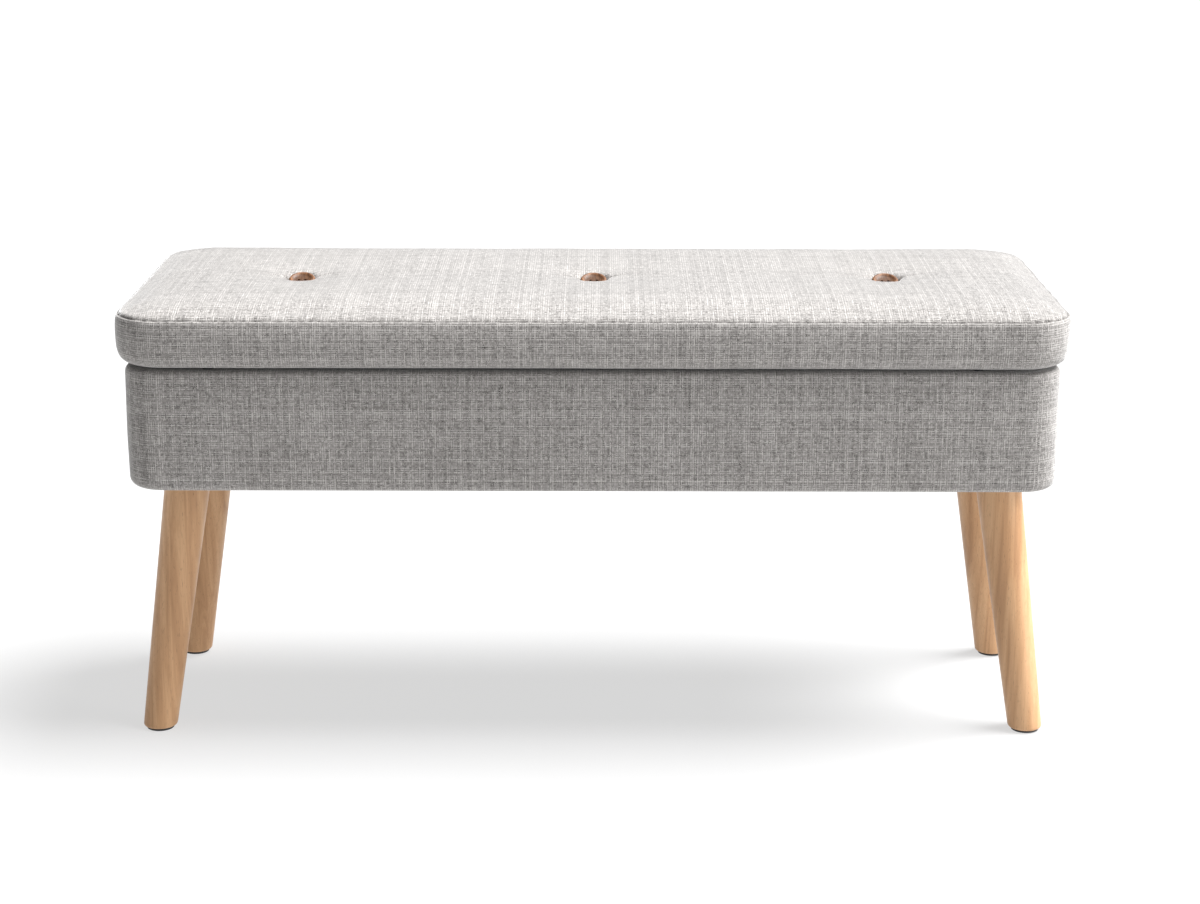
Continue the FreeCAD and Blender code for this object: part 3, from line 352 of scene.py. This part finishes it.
def grid_lines(straight, steps_in_corner, step, fine_at=(), reach=42 * MM, fine_step=3 * MM):
    """Grid shares from -2 to 2: beyond 1 they lie in a corner block, closer together towards its edge.
    Near the places fine_at the lines run closer together."""
    lines, here = [-straight / 2], -straight / 2
    while here < straight / 2:
        away = min((abs(here + step / 2 - place) for place in fine_at), default=reach * 2)
        here += fine_step + (step - fine_step) * min(1, max(0, away - reach) / reach)
        lines.append(here)
    middle = (np.array(lines) + straight / 2) / (here + straight / 2) * 2 - 1
    rest = np.linspace(0, 1, steps_in_corner + 1)[1:]
    beyond = 1 + rest * (1.55 - 0.55 * rest)
    return np.concatenate([-beyond[::-1], middle, beyond])


def rim_of(shape):
    """The grid's border, anticlockwise from the front left."""
    last_x, last_y = shape[0] - 1, shape[1] - 1
    rim = [(i, 0) for i in range(last_x)] + [(last_x, j) for j in range(last_y)]
    rim += [(i, last_y) for i in range(last_x, 0, -1)] + [(0, j) for j in range(last_y, 0, -1)]
    return rim


def outward(x, y, length, depth, corner):
    """The outward direction at points on the border of a rounded rectangle."""
    over_x = np.maximum(np.abs(x) - (length / 2 - corner), 0) * np.sign(x)
    over_y = np.maximum(np.abs(y) - (depth / 2 - corner), 0) * np.sign(y)
    size = np.maximum(np.hypot(over_x, over_y), 1e-9)
    return over_x / size, over_y / size


def edge_distance(x, y, length, depth, corner):
    """How far a point lies inside a rounded rectangle."""
    past_x, past_y = np.abs(x) - (length / 2 - corner), np.abs(y) - (depth / 2 - corner)
    outside = np.hypot(np.maximum(past_x, 0), np.maximum(past_y, 0))
    return corner - outside - np.minimum(np.maximum(past_x, past_y), 0)


def make_object(name, points, faces, weave):
    """A mesh object with the cloth coordinates of each face corner."""
    mesh = bpy.data.meshes.new(name)
    mesh.from_pydata([tuple(point) for point in points], [], faces)
    cloth = mesh.attributes.new("weave", "FLOAT_VECTOR", "CORNER")
    cloth.data.foreach_set("vector", np.array(weave, np.float32).ravel())
    mesh.update()
    made = bpy.data.objects.new(name, mesh)
    bpy.context.scene.collection.objects.link(made)
    return made


def capped_form(name, length, depth, corner, columns, rows, profile, low_z, high_z, low_inset, high_inset):
    """A closed form: a grid below, rings up its side, and a grid on top. profile gives the rings as
    (outward offset, height) from the lower grid's edge to the upper grid's, both left out. low_z and
    high_z give each grid's heights from its points and their distance from its edge."""
    points, faces, weave = [], [], []
    count = len(columns) * len(rows)

    def cap(inset, height):
        x, y = rounded_grid(length - 2 * inset, depth - 2 * inset, corner - inset, columns, rows)
        away = edge_distance(x, y, length - 2 * inset, depth - 2 * inset, corner - inset)
        return x, y, height(x, y, away)

    low, high = cap(low_inset, low_z), cap(high_inset, high_z)
    rim = rim_of(low[0].shape)
    rim_index = [i * len(rows) + j for i, j in rim]
    mid_x, mid_y = rounded_grid(length, depth, corner, columns, rows)
    rim_x, rim_y = (np.array([grid[place] for place in rim]) for grid in (mid_x, mid_y))
    out_x, out_y = outward(rim_x, rim_y, length, depth, corner)
    along = np.concatenate([[0], np.cumsum(np.hypot(np.diff(np.append(rim_x, rim_x[0])),
                                                    np.diff(np.append(rim_y, rim_y[0]))))])
    points += list(np.stack([axis.ravel() for axis in low], 1))
    for offset, height in profile:
        points += list(np.stack([rim_x + out_x * offset, rim_y + out_y * offset,
                                 np.full(len(rim), height)], 1))
    points += list(np.stack([axis.ravel() for axis in high], 1))
    high_start = count + len(profile) * len(rim)

    def add_cap(start, grid, flip):
        x, y, _ = grid
        for i in range(len(columns) - 1):
            for j in range(len(rows) - 1):
                corners = [(i, j), (i + 1, j), (i + 1, j + 1), (i, j + 1)]
                corners = corners[::-1] if flip else corners
                faces.append([start + a * len(rows) + b for a, b in corners])
                weave.extend((x[place], y[place], 0) for place in corners)

    add_cap(0, low, True)
    loops = [rim_index]
    loops += [[count + ring * len(rim) + k for k in range(len(rim))] for ring in range(len(profile))]
    loops += [[high_start + index for index in rim_index]]
    stations = [(-low_inset, low[2][rim[0]])] + list(profile) + [(-high_inset, high[2][rim[0]])]
    rise = np.concatenate([[0], np.cumsum([math.dist(a, b) for a, b in zip(stations, stations[1:])])])
    for ring in range(len(loops) - 1):
        for k in range(len(rim)):
            after = (k + 1) % len(rim)
            faces.append([loops[ring][k], loops[ring][after], loops[ring + 1][after], loops[ring + 1][k]])
            weave.extend([(along[k], rise[ring], 0), (along[k + 1], rise[ring], 0),
                          (along[k + 1], rise[ring + 1], 0), (along[k], rise[ring + 1], 0)])
    add_cap(high_start, high, False)
    made = make_object(name, points, faces, weave)
    made["high_start"], made["side_start"], made["rim"] = high_start, count, len(rim)
    return made


def ring_form(name, length, depth, corner, columns, rows, profile):
    """A closed band that runs round a rounded rectangle, its section the closed loop profile."""
    mid_x, mid_y = rounded_grid(length, depth, corner, columns, rows)
    rim = rim_of(mid_x.shape)
    x, y = (np.array([grid[place] for place in rim]) for grid in (mid_x, mid_y))
    out_x, out_y = outward(x, y, length, depth, corner)
    along = np.concatenate([[0], np.cumsum(np.hypot(np.diff(np.append(x, x[0])),
                                                    np.diff(np.append(y, y[0]))))])
    rise = np.concatenate([[0], np.cumsum([math.dist(a, b)
                                           for a, b in zip(profile, profile[1:] + profile[:1])])])
    points, faces, weave = [], [], []
    for offset, height in profile:
        points += list(np.stack([x + out_x * offset, y + out_y * offset, np.full(len(rim), height)], 1))
    for ring in range(len(profile)):
        above = (ring + 1) % len(profile)
        for k in range(len(rim)):
            after = (k + 1) % len(rim)
            faces.append([ring * len(rim) + k, ring * len(rim) + after, above * len(rim) + after,
                          above * len(rim) + k])
            weave.extend([(along[k], rise[ring], 0), (along[k + 1], rise[ring], 0),
                          (along[k + 1], rise[ring + 1], 0), (along[k], rise[ring + 1], 0)])
    return make_object(name, points, faces, weave)


def vertex_array(thing):
    points = np.zeros(len(thing.data.vertices) * 3, np.float32)
    thing.data.vertices.foreach_get("co", points)
    return points.reshape(-1, 3).astype(float)


def set_vertices(thing, points):
    thing.data.vertices.foreach_set("co", points.astype(np.float32).ravel())
    thing.data.update()


def vertex_normals(thing):
    normals = np.zeros(len(thing.data.vertices) * 3, np.float32)
    thing.data.vertex_normals.foreach_get("vector", normals)
    return normals.reshape(-1, 3).astype(float)


def apply_modifiers(thing):
    bpy.context.view_layer.objects.active = thing
    for modifier in list(thing.modifiers):
        with bpy.context.temp_override(object=thing, active_object=thing, selected_objects=[thing]):
            bpy.ops.object.modifier_apply(modifier=modifier.name)


def smooth(thing, levels=0):
    """Subdivide a finished form and shade it smooth."""
    if levels:
        modifier = thing.modifiers.new("smooth", "SUBSURF")
        modifier.levels = modifier.render_levels = levels
        apply_modifiers(thing)
    thing.data.polygons.foreach_set("use_smooth", [True] * len(thing.data.polygons))
    thing.data.update()


def ripple(points, size, seed):
    """Gentle unevenness, from -1 to 1, the same on every run."""
    shift = Vector((seed, 2.3 * seed, 5.1 * seed))
    return np.array([noise.noise(Vector(point) / size + shift) for point in points])


def show(thing, material, body, slot, *nodes):
    """Finish a piece: its material, the body it rides on, the slot, which is not used, and the CAD nodes it
    stands for.
    """
    thing.data.materials.clear()
    thing.data.materials.append(material)
    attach(thing, body)
    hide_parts(*nodes)
    return thing


# ---------------------------------------------------------------- the lid
CROWN_REACH, CROWN_RISE = 110 * MM, 6.5 * MM
SHOULDER_REACH, SHOULDER_RISE = 4 * MM, 4.5 * MM
DIMPLE_WALL = 3.4 * MM
DIMPLE_REACH = 18 * MM
BUTTON_RADIUS = 14.5 * MM
BUTTON_TILT = math.radians(20)
EYE_RADIUS, EYE_SPACING = 1.5 * MM, 7 * MM


def button_centre(node):
    low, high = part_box(node)
    return (low + high) / 2


def lid_top_height(x, y, away):
    """The stuffed top before it is pressed out: a rolled edge, and a dimple at each button."""
    inside = np.clip(away / CROWN_REACH, 0, 1)
    height = SEAM_Z + SHOULDER_RISE * (1 - np.exp(-away / SHOULDER_REACH)) + CROWN_RISE * (
        1 - (1 - inside) ** 2.2)
    for node in BUTTONS:
        centre = button_centre(node)
        across, ahead = x - centre.x, y - centre.y
        reach = np.hypot(across, ahead)
        floor = centre.z - 4.2 * MM + y * math.tan(BUTTON_TILT)
        past = np.maximum(reach - 14 * MM, 0)
        lengthways = (ahead / np.maximum(reach, 1e-9)) ** 2
        wide, wall = 0.08 + 0.10 * lengthways, DIMPLE_WALL * (0.7 + 0.4 * lengthways)
        pull = (1 - wide) * np.exp(-past / wall) + wide * np.exp(-past / DIMPLE_REACH)
        height = height - np.maximum(height - floor, 0) * pull
    return height


def press_out(thing, held, frames, pressure, stiffness, cap):
    """Stuff a closed form by cloth simulation. held are the vertices that are sewn or stapled down, and
    no point moves further than cap."""
    before = vertex_array(thing)
    pins = thing.vertex_groups.new(name="held")
    pins.add([int(index) for index in np.nonzero(held)[0]], 1.0, "REPLACE")
    cloth = thing.modifiers.new("cloth", "CLOTH")
    settings = cloth.settings
    settings.quality = 6
    settings.mass = 0.3
    settings.tension_stiffness = settings.compression_stiffness = stiffness
    settings.shear_stiffness = stiffness / 3
    settings.bending_stiffness = 0.8
    settings.use_pressure = True
    settings.uniform_pressure_force = pressure
    settings.vertex_group_mass = "held"
    settings.effector_weights.gravity = 0
    cloth.collision_settings.use_collision = False
    cloth.point_cache.frame_start, cloth.point_cache.frame_end = 1, frames
    for step in range(1, frames + 1):
        bpy.context.scene.frame_set(step)
    evaluated = thing.evaluated_get(bpy.context.evaluated_depsgraph_get())
    after = np.zeros(len(before) * 3, np.float32)
    evaluated.data.vertices.foreach_get("co", after)
    moved = after.reshape(-1, 3) - before
    thing.modifiers.remove(cloth)
    thing.vertex_groups.remove(pins)
    size = np.maximum(np.linalg.norm(moved, axis=1, keepdims=True), 1e-9)
    print("pressed out by", round(float(size.max()) * 1000, 2), "mm at most, mean",
          round(float(size.mean()) * 1000, 2))
    set_vertices(thing, before + moved / size * cap * np.tanh(size / cap))
    bpy.context.scene.frame_set(1)


def lid_creases(points, normals):
    """Creases that run out to the left and right of each button, and puckers along the seam. Also gives a
    mask of painted shade along the seam groove and the crease lines.
    """
    lift, painted_fold_shade = np.zeros(len(points)), np.zeros(len(points))
    top = points[:, 2] > SEAM_Z + 1 * MM
    for node in BUTTONS:
        centre = button_centre(node)
        away_x = np.abs(points[:, 0] - centre.x)
        for side, slope in ((-1, -0.10), (1, 0.16)):
            on_side = (points[:, 0] - centre.x) * side > 0
            line = centre.y + slope * (away_x - BUTTON_RADIUS) - 1 * MM
            off_line = points[:, 1] - line
            fade = np.exp(-np.maximum(away_x - BUTTON_RADIUS, 0) / (20 * MM)) * (away_x > BUTTON_RADIUS * 0.8)
            valley = -1.7 * MM * np.exp(-(off_line / (2.6 * MM)) ** 2)
            ridge = 0.7 * MM * np.exp(-((off_line + 6 * MM) / (4 * MM)) ** 2)
            lift += np.where(top & on_side, fade * (valley + ridge), 0)
            # Painted shade along each crease line, for the mask that darkens the cloth.
            fold_shade = 0.55 * fade * np.exp(-(off_line / (1.6 * MM)) ** 2)
            painted_fold_shade = np.maximum(painted_fold_shade, np.where(top & on_side, fold_shade, 0))
    beside_seam = np.exp(-((points[:, 2] - SEAM_Z) / (5 * MM)) ** 2)
    along = points[:, 0] + points[:, 1]
    lift += beside_seam * 0.3 * MM * np.sin(along / (9 * MM) + 2.0 * np.sin(along / (37 * MM)))
    groove_and_painted_shade = np.exp(-((points[:, 2] - SEAM_Z) / (0.9 * MM)) ** 2)
    groove_and_painted_shade *= 0.75 + 0.25 * np.sin(along / (2.1 * MM) + 3.0 * np.sin(along / (13 * MM)))
    lift -= 1.9 * MM * groove_and_painted_shade
    lift += 0.5 * MM * np.exp(-((points[:, 2] - SEAM_Z - 2.6 * MM) / (1.1 * MM)) ** 2)
    return points + normals * lift[:, None], np.maximum(groove_and_painted_shade, painted_fold_shade)


def make_lid():
    corner_steps, step = 12, 7 * MM
    columns = grid_lines(LID_LENGTH - 2 * LID_CORNER, corner_steps, step,
                         [button_centre(node).x for node in BUTTONS])
    rows = grid_lines(LID_DEPTH - 2 * LID_CORNER, corner_steps, step, [0.0])
    under = LID_LOW.z
    profile = [(-12.6, 0.25), (-9.2, 1.4), (-6.0, 3.6), (-3.6, 6.6), (-2.0, 10.2), (-1.0, 14.5),
               (-0.5, 19.5), (-0.3, 25.0), (-0.2, 31.0), (-0.2, 37.0), (-0.5, 42.5), (-1.0, 47.0),
               (-1.6, 49.6), (-2.4, 51.2)]
    profile = [(offset * MM, under + height * MM) for offset, height in profile]
    hem = LID_LENGTH / 2 - LID_LINING_HIGH.x - 16 * MM

    def underside(x, y, away):
        return np.where(away > hem, LID_LINING_HIGH.z - 0.2 * MM, under)

    lid = capped_form("lid_cushion_cover", LID_LENGTH, LID_DEPTH, LID_CORNER, columns, rows, profile,
                      underside, lid_top_height, 16 * MM, 3.0 * MM)
    points = vertex_array(lid)
    high_start, side_start, rim = lid["high_start"], lid["side_start"], lid["rim"]
    index = np.arange(len(points))
    held = index < side_start + rim
    on_top = index >= high_start
    away = edge_distance(points[:, 0], points[:, 1], LID_LENGTH - 6 * MM, LID_DEPTH - 6 * MM,
                         LID_CORNER - 3 * MM)
    held |= on_top & (away < 0.2 * MM)
    for node in BUTTONS:
        centre = button_centre(node)
        held |= on_top & (np.hypot(points[:, 0] - centre.x, points[:, 1] - centre.y) < 15.5 * MM)
    press_out(lid, held, 20, 4.0, 15.0, 3.5 * MM)
    smooth(lid, 1)
    points, groove_and_painted_shade = lid_creases(vertex_array(lid), vertex_normals(lid))
    # Painted shade: the mask of the seam groove and the creases, which darkens the cloth there.
    painted_seam_crease_shade = lid.data.attributes.new("painted_seam_crease_shade", "FLOAT", "POINT")
    painted_seam_crease_shade.data.foreach_set("value", groove_and_painted_shade.astype(np.float32))
    uneven = ripple(points, 70 * MM, 1.0)
    points += vertex_normals(lid) * (uneven * 0.35 * MM)[:, None]
    set_vertices(lid, points)
    smooth(lid)
    show(lid, FABRIC, "lid", "cover_fabric", "lid_cover", "lid_cushion")
    return lid


# ---------------------------------------------------------------- the box's upholstery
def make_box_cover():
    columns = grid_lines(BOX_LENGTH - 2 * BOX_CORNER, 10, 7 * MM)
    rows = grid_lines(BOX_DEPTH - 2 * BOX_CORNER, 10, 7 * MM)
    top, bottom = BOX_HIGH.z, BOX_LOW.z
    to_carcass = CARCASS_HIGH.x - BOX_HIGH.x
    to_inside = LINING_HIGH.x - BOX_HIGH.x
    hem = DUST_HIGH.x - BOX_HIGH.x
    outer = [(to_inside + 0.3 * MM, top - 1.0 * MM), (to_inside + 1.2 * MM, top - 0.25 * MM),
             (-15 * MM, top - 0.1 * MM), (-9 * MM, top - 0.1 * MM), (-5 * MM, top - 0.6 * MM),
             (-2.6 * MM, top - 1.8 * MM), (-1.2 * MM, top - 3.8 * MM), (-0.6 * MM, top - 6.5 * MM)]
    wall_heights = np.linspace(top - 11 * MM, bottom + BOX_ROLL + 3 * MM, 13)
    outer += [(-0.5 * MM + 0.5 * MM * math.sin(math.pi * share), height)
              for share, height in zip(np.linspace(0.05, 0.95, 13), wall_heights)]
    for angle in np.linspace(0, math.pi / 2, 9):
        outer.append((-BOX_ROLL + BOX_ROLL * math.cos(angle) - 0.4 * MM * math.cos(angle),
                      bottom + BOX_ROLL - BOX_ROLL * math.sin(angle)))
    outer += [(hem + 1.5 * MM, bottom), (hem + 0.3 * MM, bottom + 0.5 * MM)]
    inner = [(hem + 0.3 * MM, bottom + 1.3 * MM), (-BOX_ROLL + 4 * MM, bottom + 1.5 * MM),
             (to_carcass + 1 * MM, bottom + 10 * MM), (to_carcass + 0.3 * MM, bottom + 16 * MM),
             (to_carcass + 0.2 * MM, top - 20 * MM), (to_carcass + 0.2 * MM, top - 2.5 * MM),
             (to_inside + 0.5 * MM, top - 1.45 * MM)]
    cover = ring_form("box_upholstery", BOX_LENGTH, BOX_DEPTH, BOX_CORNER, columns, rows,
                      (outer + inner)[::-1])
    smooth(cover, 1)
    points = vertex_array(cover)
    outside = edge_distance(points[:, 0], points[:, 1], BOX_LENGTH, BOX_DEPTH, BOX_CORNER) < 4 * MM
    uneven = ripple(points, 90 * MM, 2.0) * 0.5 * MM + ripple(points, 28 * MM, 3.0) * 0.15 * MM
    near_rim = np.exp(-((points[:, 2] - top) / (9 * MM)) ** 2)
    uneven += near_rim * 0.3 * MM * np.sin(points[:, 0] / (23 * MM) + 1.7 * np.sin(points[:, 0] / (61 * MM)))
    set_vertices(cover, points + vertex_normals(cover) * np.where(outside, uneven, 0)[:, None])
    show(cover, FABRIC, "base", "cover_fabric", "box_cover", "box_padding")
    return cover


# ---------------------------------------------------------------- linings and dust cover
def flat_cloth(name, low, high, corner, seed, droop):
    """A thin stretched cloth, its lower face hanging slightly between its edges."""
    length, depth = high.x - low.x, high.y - low.y
    columns, rows = grid_lines(length - 2 * corner, 4, 12 * MM), grid_lines(depth - 2 * corner, 4, 12 * MM)
    thick = high.z - low.z

    def sag(x, y, away):
        slack = 0.5 + 0.5 * np.array([noise.noise(Vector((a / 0.11 + seed, b / 0.05, seed)))
                                      for a, b in zip(x.ravel(), y.ravel())]).reshape(x.shape)
        return low.z + 0.25 * thick - droop * slack * np.clip(away / (30 * MM), 0, 1)

    def above(x, y, away):
        return sag(x, y, away) + 0.5 * thick

    cloth = capped_form(name, length, depth, corner, columns, rows, [(0.0, low.z + 0.4 * thick)],
                        sag, above, 0.3 * MM, 0.3 * MM)
    smooth(cloth, 1)
    return cloth


def make_dust_cover():
    cloth = flat_cloth("dust_cover_cloth", DUST_LOW, DUST_HIGH, 16 * MM, 4.0, 0.5 * MM)
    show(cloth, BLACK_NONWOVEN, "base", "dust_cover_fabric", "dust_cover")


def make_lid_lining():
    cloth = flat_cloth("lid_underside_cloth", LID_LINING_LOW, LID_LINING_HIGH, 10 * MM, 7.0, 0.3 * MM)
    show(cloth, LINING, "lid", "lining_fabric", "lid_lining")


def make_box_lining():
    length, depth = LINING_HIGH.x - LINING_LOW.x, LINING_HIGH.y - LINING_LOW.y
    corner = 15.5 * MM
    columns, rows = grid_lines(length - 2 * corner, 5, 12 * MM), grid_lines(depth - 2 * corner, 5, 12 * MM)
    floor, top, thick = LINING_LOW.z, LINING_HIGH.z, 0.9 * MM
    heights = np.linspace(floor + 4 * MM, top - 1 * MM, 12)
    outer = [(-0.1 * MM, height) for height in heights]
    inner = [(-0.1 * MM - thick, height) for height in heights[::-1]]
    profile = outer + [(-0.15 * MM, top - 0.3 * MM), (-0.5 * MM, top), (-0.85 * MM, top - 0.3 * MM)] + inner
    profile += [(-1.4 * MM, floor + 2.2 * MM)]

    def under(x, y, away):
        return np.full(x.shape, floor + 0.05 * MM)

    def over(x, y, away):
        return floor + thick + 0.3 * MM * np.array(
            [noise.noise(Vector((a / 0.09, b / 0.06, 3.0))) + 0.6 for a, b in zip(x.ravel(), y.ravel())]
        ).reshape(x.shape)

    lining = capped_form("box_lining_cloth", length, depth, corner, columns, rows, profile, under, over,
                         1.2 * MM, 2.6 * MM)
    smooth(lining, 1)
    show(lining, LINING, "base", "lining_fabric", "box_lining")


# ---------------------------------------------------------------- turned and moulded pieces
def lathe(name, profile, segments=64):
    """A turned form about its own Z axis. profile runs from the axis below to the axis above."""
    mesh = bpy.data.meshes.new(name)
    points, faces = [(0, 0, profile[0][1])], []
    for radius, height in profile[1:-1]:
        points += [(radius * math.cos(2 * math.pi * k / segments),
                    radius * math.sin(2 * math.pi * k / segments), height) for k in range(segments)]
    points.append((0, 0, profile[-1][1]))
    rings = len(profile) - 2
    for k in range(segments):
        after = (k + 1) % segments
        faces.append((0, 1 + after, 1 + k))
        for ring in range(rings - 1):
            low, high = 1 + ring * segments, 1 + (ring + 1) * segments
            faces.append((low + k, low + after, high + after, high + k))
        last = 1 + (rings - 1) * segments
        faces.append((last + k, last + after, len(points) - 1))
    mesh.from_pydata(points, [], faces)
    mesh.update()
    made = bpy.data.objects.new(name, mesh)
    bpy.context.scene.collection.objects.link(made)
    smooth(made)
    return made


LEG_TOP_RADIUS, LEG_FOOT_RADIUS, LEG_ROUND = 25 * MM, 18.5 * MM, 3 * MM
GLIDE_ROUND = 1 * MM


def make_leg(corner_name, order):
    """A turned leg, sheared along its slant so that both ends are level."""
    low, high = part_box(f"leg_{corner_name}")
    glide_low, glide_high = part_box(f"foot_glide_{corner_name}")
    foot = (glide_low + glide_high) / 2
    to_right, to_back = math.copysign(1, foot.x), math.copysign(1, foot.y)
    inner_x = low.x if to_right > 0 else high.x
    inner_y = low.y if to_back > 0 else high.y
    top = Vector((inner_x + to_right * LEG_TOP_RADIUS, inner_y + to_back * LEG_TOP_RADIUS, high.z))
    rise = high.z - low.z
    profile = [(0, 0)]
    for angle in np.linspace(0, math.pi / 2, 7):
        profile.append((LEG_FOOT_RADIUS - LEG_ROUND + LEG_ROUND * math.sin(angle),
                        LEG_ROUND - LEG_ROUND * math.cos(angle)))
    for share in np.linspace(0.03, 1, 40):
        profile.append((LEG_FOOT_RADIUS + (LEG_TOP_RADIUS - LEG_FOOT_RADIUS) * share, rise * share))
    profile.append((0, rise))
    leg = lathe(f"turned_leg_{corner_name}", profile, 72)
    slant = (top.x - foot.x) / rise, (top.y - foot.y) / rise
    points = vertex_array(leg)
    # The grain's place in the log differs from leg to leg: each mesh sits elsewhere in its own frame.
    log_place = np.array([0.11 * order, 0.07 * order, 0.9 * order])
    points[:, 0] += slant[0] * points[:, 2]
    points[:, 1] += slant[1] * points[:, 2]
    set_vertices(leg, points + log_place)
    leg.matrix_world = Matrix.Translation(Vector((foot.x, foot.y, low.z)) - Vector(log_place))
    show(leg, LEG_WOOD, "base", "leg_wood", f"leg_{corner_name}")


def make_glide(corner_name):
    low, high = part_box(f"foot_glide_{corner_name}")
    radius, thick = (high.x - low.x) / 2, high.z - low.z
    profile = [(0, 0)]
    for angle in np.linspace(0, math.pi / 2, 6):
        profile.append((radius - GLIDE_ROUND + GLIDE_ROUND * math.sin(angle),
                        GLIDE_ROUND - GLIDE_ROUND * math.cos(angle)))
    profile += [(radius, thick - 0.2 * MM), (radius - 0.2 * MM, thick), (0, thick)]
    glide = lathe(f"glide_{corner_name}", profile, 48)
    glide.matrix_world = Matrix.Translation(((low.x + high.x) / 2, (low.y + high.y) / 2, low.z))
    show(glide, GLIDE_PLASTIC, "base", "glide_plastic", f"foot_glide_{corner_name}")


def make_button(node):
    """A turned wooden button: a rounded rim round a hollow with two sewing holes."""
    profile = [(0, 0), (9.5, 0.0), (11.6, 0.15), (13.2, 0.8), (14.2, 1.9), (14.5, 3.2), (14.25, 4.5),
               (13.5, 5.5), (12.5, 5.95), (11.4, 5.9), (10.5, 5.3), (9.6, 4.5), (8.2, 4.05), (6.0, 3.85),
               (3.0, 3.75), (0, 3.72)]
    button = lathe(f"wood_{node}", [(radius * MM, height * MM) for radius, height in profile], 64)
    for side in (-1, 1):
        bpy.ops.mesh.primitive_cylinder_add(vertices=24, radius=EYE_RADIUS, depth=20 * MM,
                                            location=(side * EYE_SPACING / 2, 0, 0))
        drill = bpy.context.object
        hole = button.modifiers.new("eye", "BOOLEAN")
        hole.operation, hole.object, hole.solver = "DIFFERENCE", drill, "EXACT"
        apply_modifiers(button)
        bpy.data.objects.remove(drill)
    smooth(button)
    rounding = button.modifiers.new("edges", "BEVEL")
    rounding.width, rounding.segments, rounding.limit_method = 0.25 * MM, 2, "ANGLE"
    rounding.angle_limit = math.radians(50)
    apply_modifiers(button)
    centre = button_centre(node)
    base = centre - Vector((0, -math.sin(BUTTON_TILT), math.cos(BUTTON_TILT))) * 3 * MM
    button.matrix_world = Matrix.Translation(base) @ Matrix.Rotation(BUTTON_TILT, 4, "X")
    show(button, BUTTON_WOOD, "lid", "button_wood", node)
    return button


# ---------------------------------------------------------------- stage
def make_stage():
    bpy.ops.mesh.primitive_plane_add(size=60)
    floor = bpy.context.object
    floor.name = "floor"
    floor.data.materials.append(pale_floor())

    world = bpy.data.worlds.new("studio")
    bpy.context.scene.world = world
    world.use_nodes = True
    background = world.node_tree.nodes["Background"]
    background.inputs["Color"].default_value = (1, 1, 1, 1)
    background.inputs["Strength"].default_value = WORLD_STRENGTH

    def lamp(name, kind, energy, place, aim, **settings):
        data = bpy.data.lights.new(name, kind)
        data.energy = energy
        for key, value in settings.items():
            setattr(data, key, value)
        made = bpy.data.objects.new(name, data)
        made.location = place
        made.rotation_euler = (Vector(aim) - Vector(place)).to_track_quat("-Z", "Y").to_euler()
        bpy.context.scene.collection.objects.link(made)

    lamp("key", "SUN", KEY_STRENGTH, (1.6, 0.25, 2.9), (0, 0, 0.2), angle=math.radians(40))
    lamp("right_fill", "AREA", FILL_POWER, (2.3, -1.3, 0.9), (0.4, 0, 0.3), shape="RECTANGLE",
         size=1.0, size_y=1.4)


def carried_over(materials):
    """Give each CAD node that shows as it is the material of its slot."""
    slots = {row["node"]: row["material_slot"] for row in frame["record"]["subparts"]}
    for name, node in frame["nodes"].items():
        if node.hide_render:
            continue
        node.data.materials.clear()
        node.data.materials.append(materials[slots[name]])


make_camera()
FABRIC = woven("linen", YARN_PITCH, (0.038, 0.034, 0.031), (0.53, 0.508, 0.49), 0.8)
LINING = felted("lining", (0.05, 0.05, 0.055), (0.10, 0.10, 0.105))
BLACK_NONWOVEN = felted("dust_cover", (0.012, 0.012, 0.013), (0.03, 0.03, 0.032))
LEG_WOOD = turned_wood("leg_wood", (0.66, 0.40, 0.215), (0.57, 0.325, 0.165), (0.44, 0.235, 0.112), 0.5)
# The button's hollow gets painted shade inside 10 mm of its axis.
BUTTON_WOOD = turned_wood("button_wood", (0.27, 0.125, 0.056), (0.17, 0.075, 0.033), (0.07, 0.03, 0.014),
                          0.4, 3.0, 0.5, hollow_shade_within=10 * MM)
GLIDE_PLASTIC = moulded("glide_plastic", (0.02, 0.02, 0.02), (0.035, 0.035, 0.035), 0.5)
make_stage()
make_lid()
make_box_cover()
make_dust_cover()
make_lid_lining()
make_box_lining()
for place, corner_name in enumerate(CORNERS):
    make_leg(corner_name, place)
    make_glide(corner_name)
for node in BUTTONS:
    make_button(node)
STEEL = plated_steel("zinc_steel")
carried_over({
    "cover_fabric": FABRIC, "wadding": LINING, "lining_fabric": LINING, "dust_cover_fabric": BLACK_NONWOVEN,
    "twine": twisted_twine("twine"),
    "carcass_wood": sheet_wood("carcass_wood", (0.62, 0.46, 0.30), (0.40, 0.27, 0.16)),
    "leg_wood": LEG_WOOD, "button_wood": BUTTON_WOOD, "glide_plastic": GLIDE_PLASTIC,
    "track_plastic": moulded("track_plastic", (0.03, 0.03, 0.03), (0.05, 0.05, 0.05), 0.4),
    "bumper_rubber": moulded("bumper_rubber", (0.02, 0.02, 0.02), (0.03, 0.03, 0.03), 0.7),
    "zinc_steel": STEEL,
})

bpy.context.scene.view_settings.view_transform = "Standard"
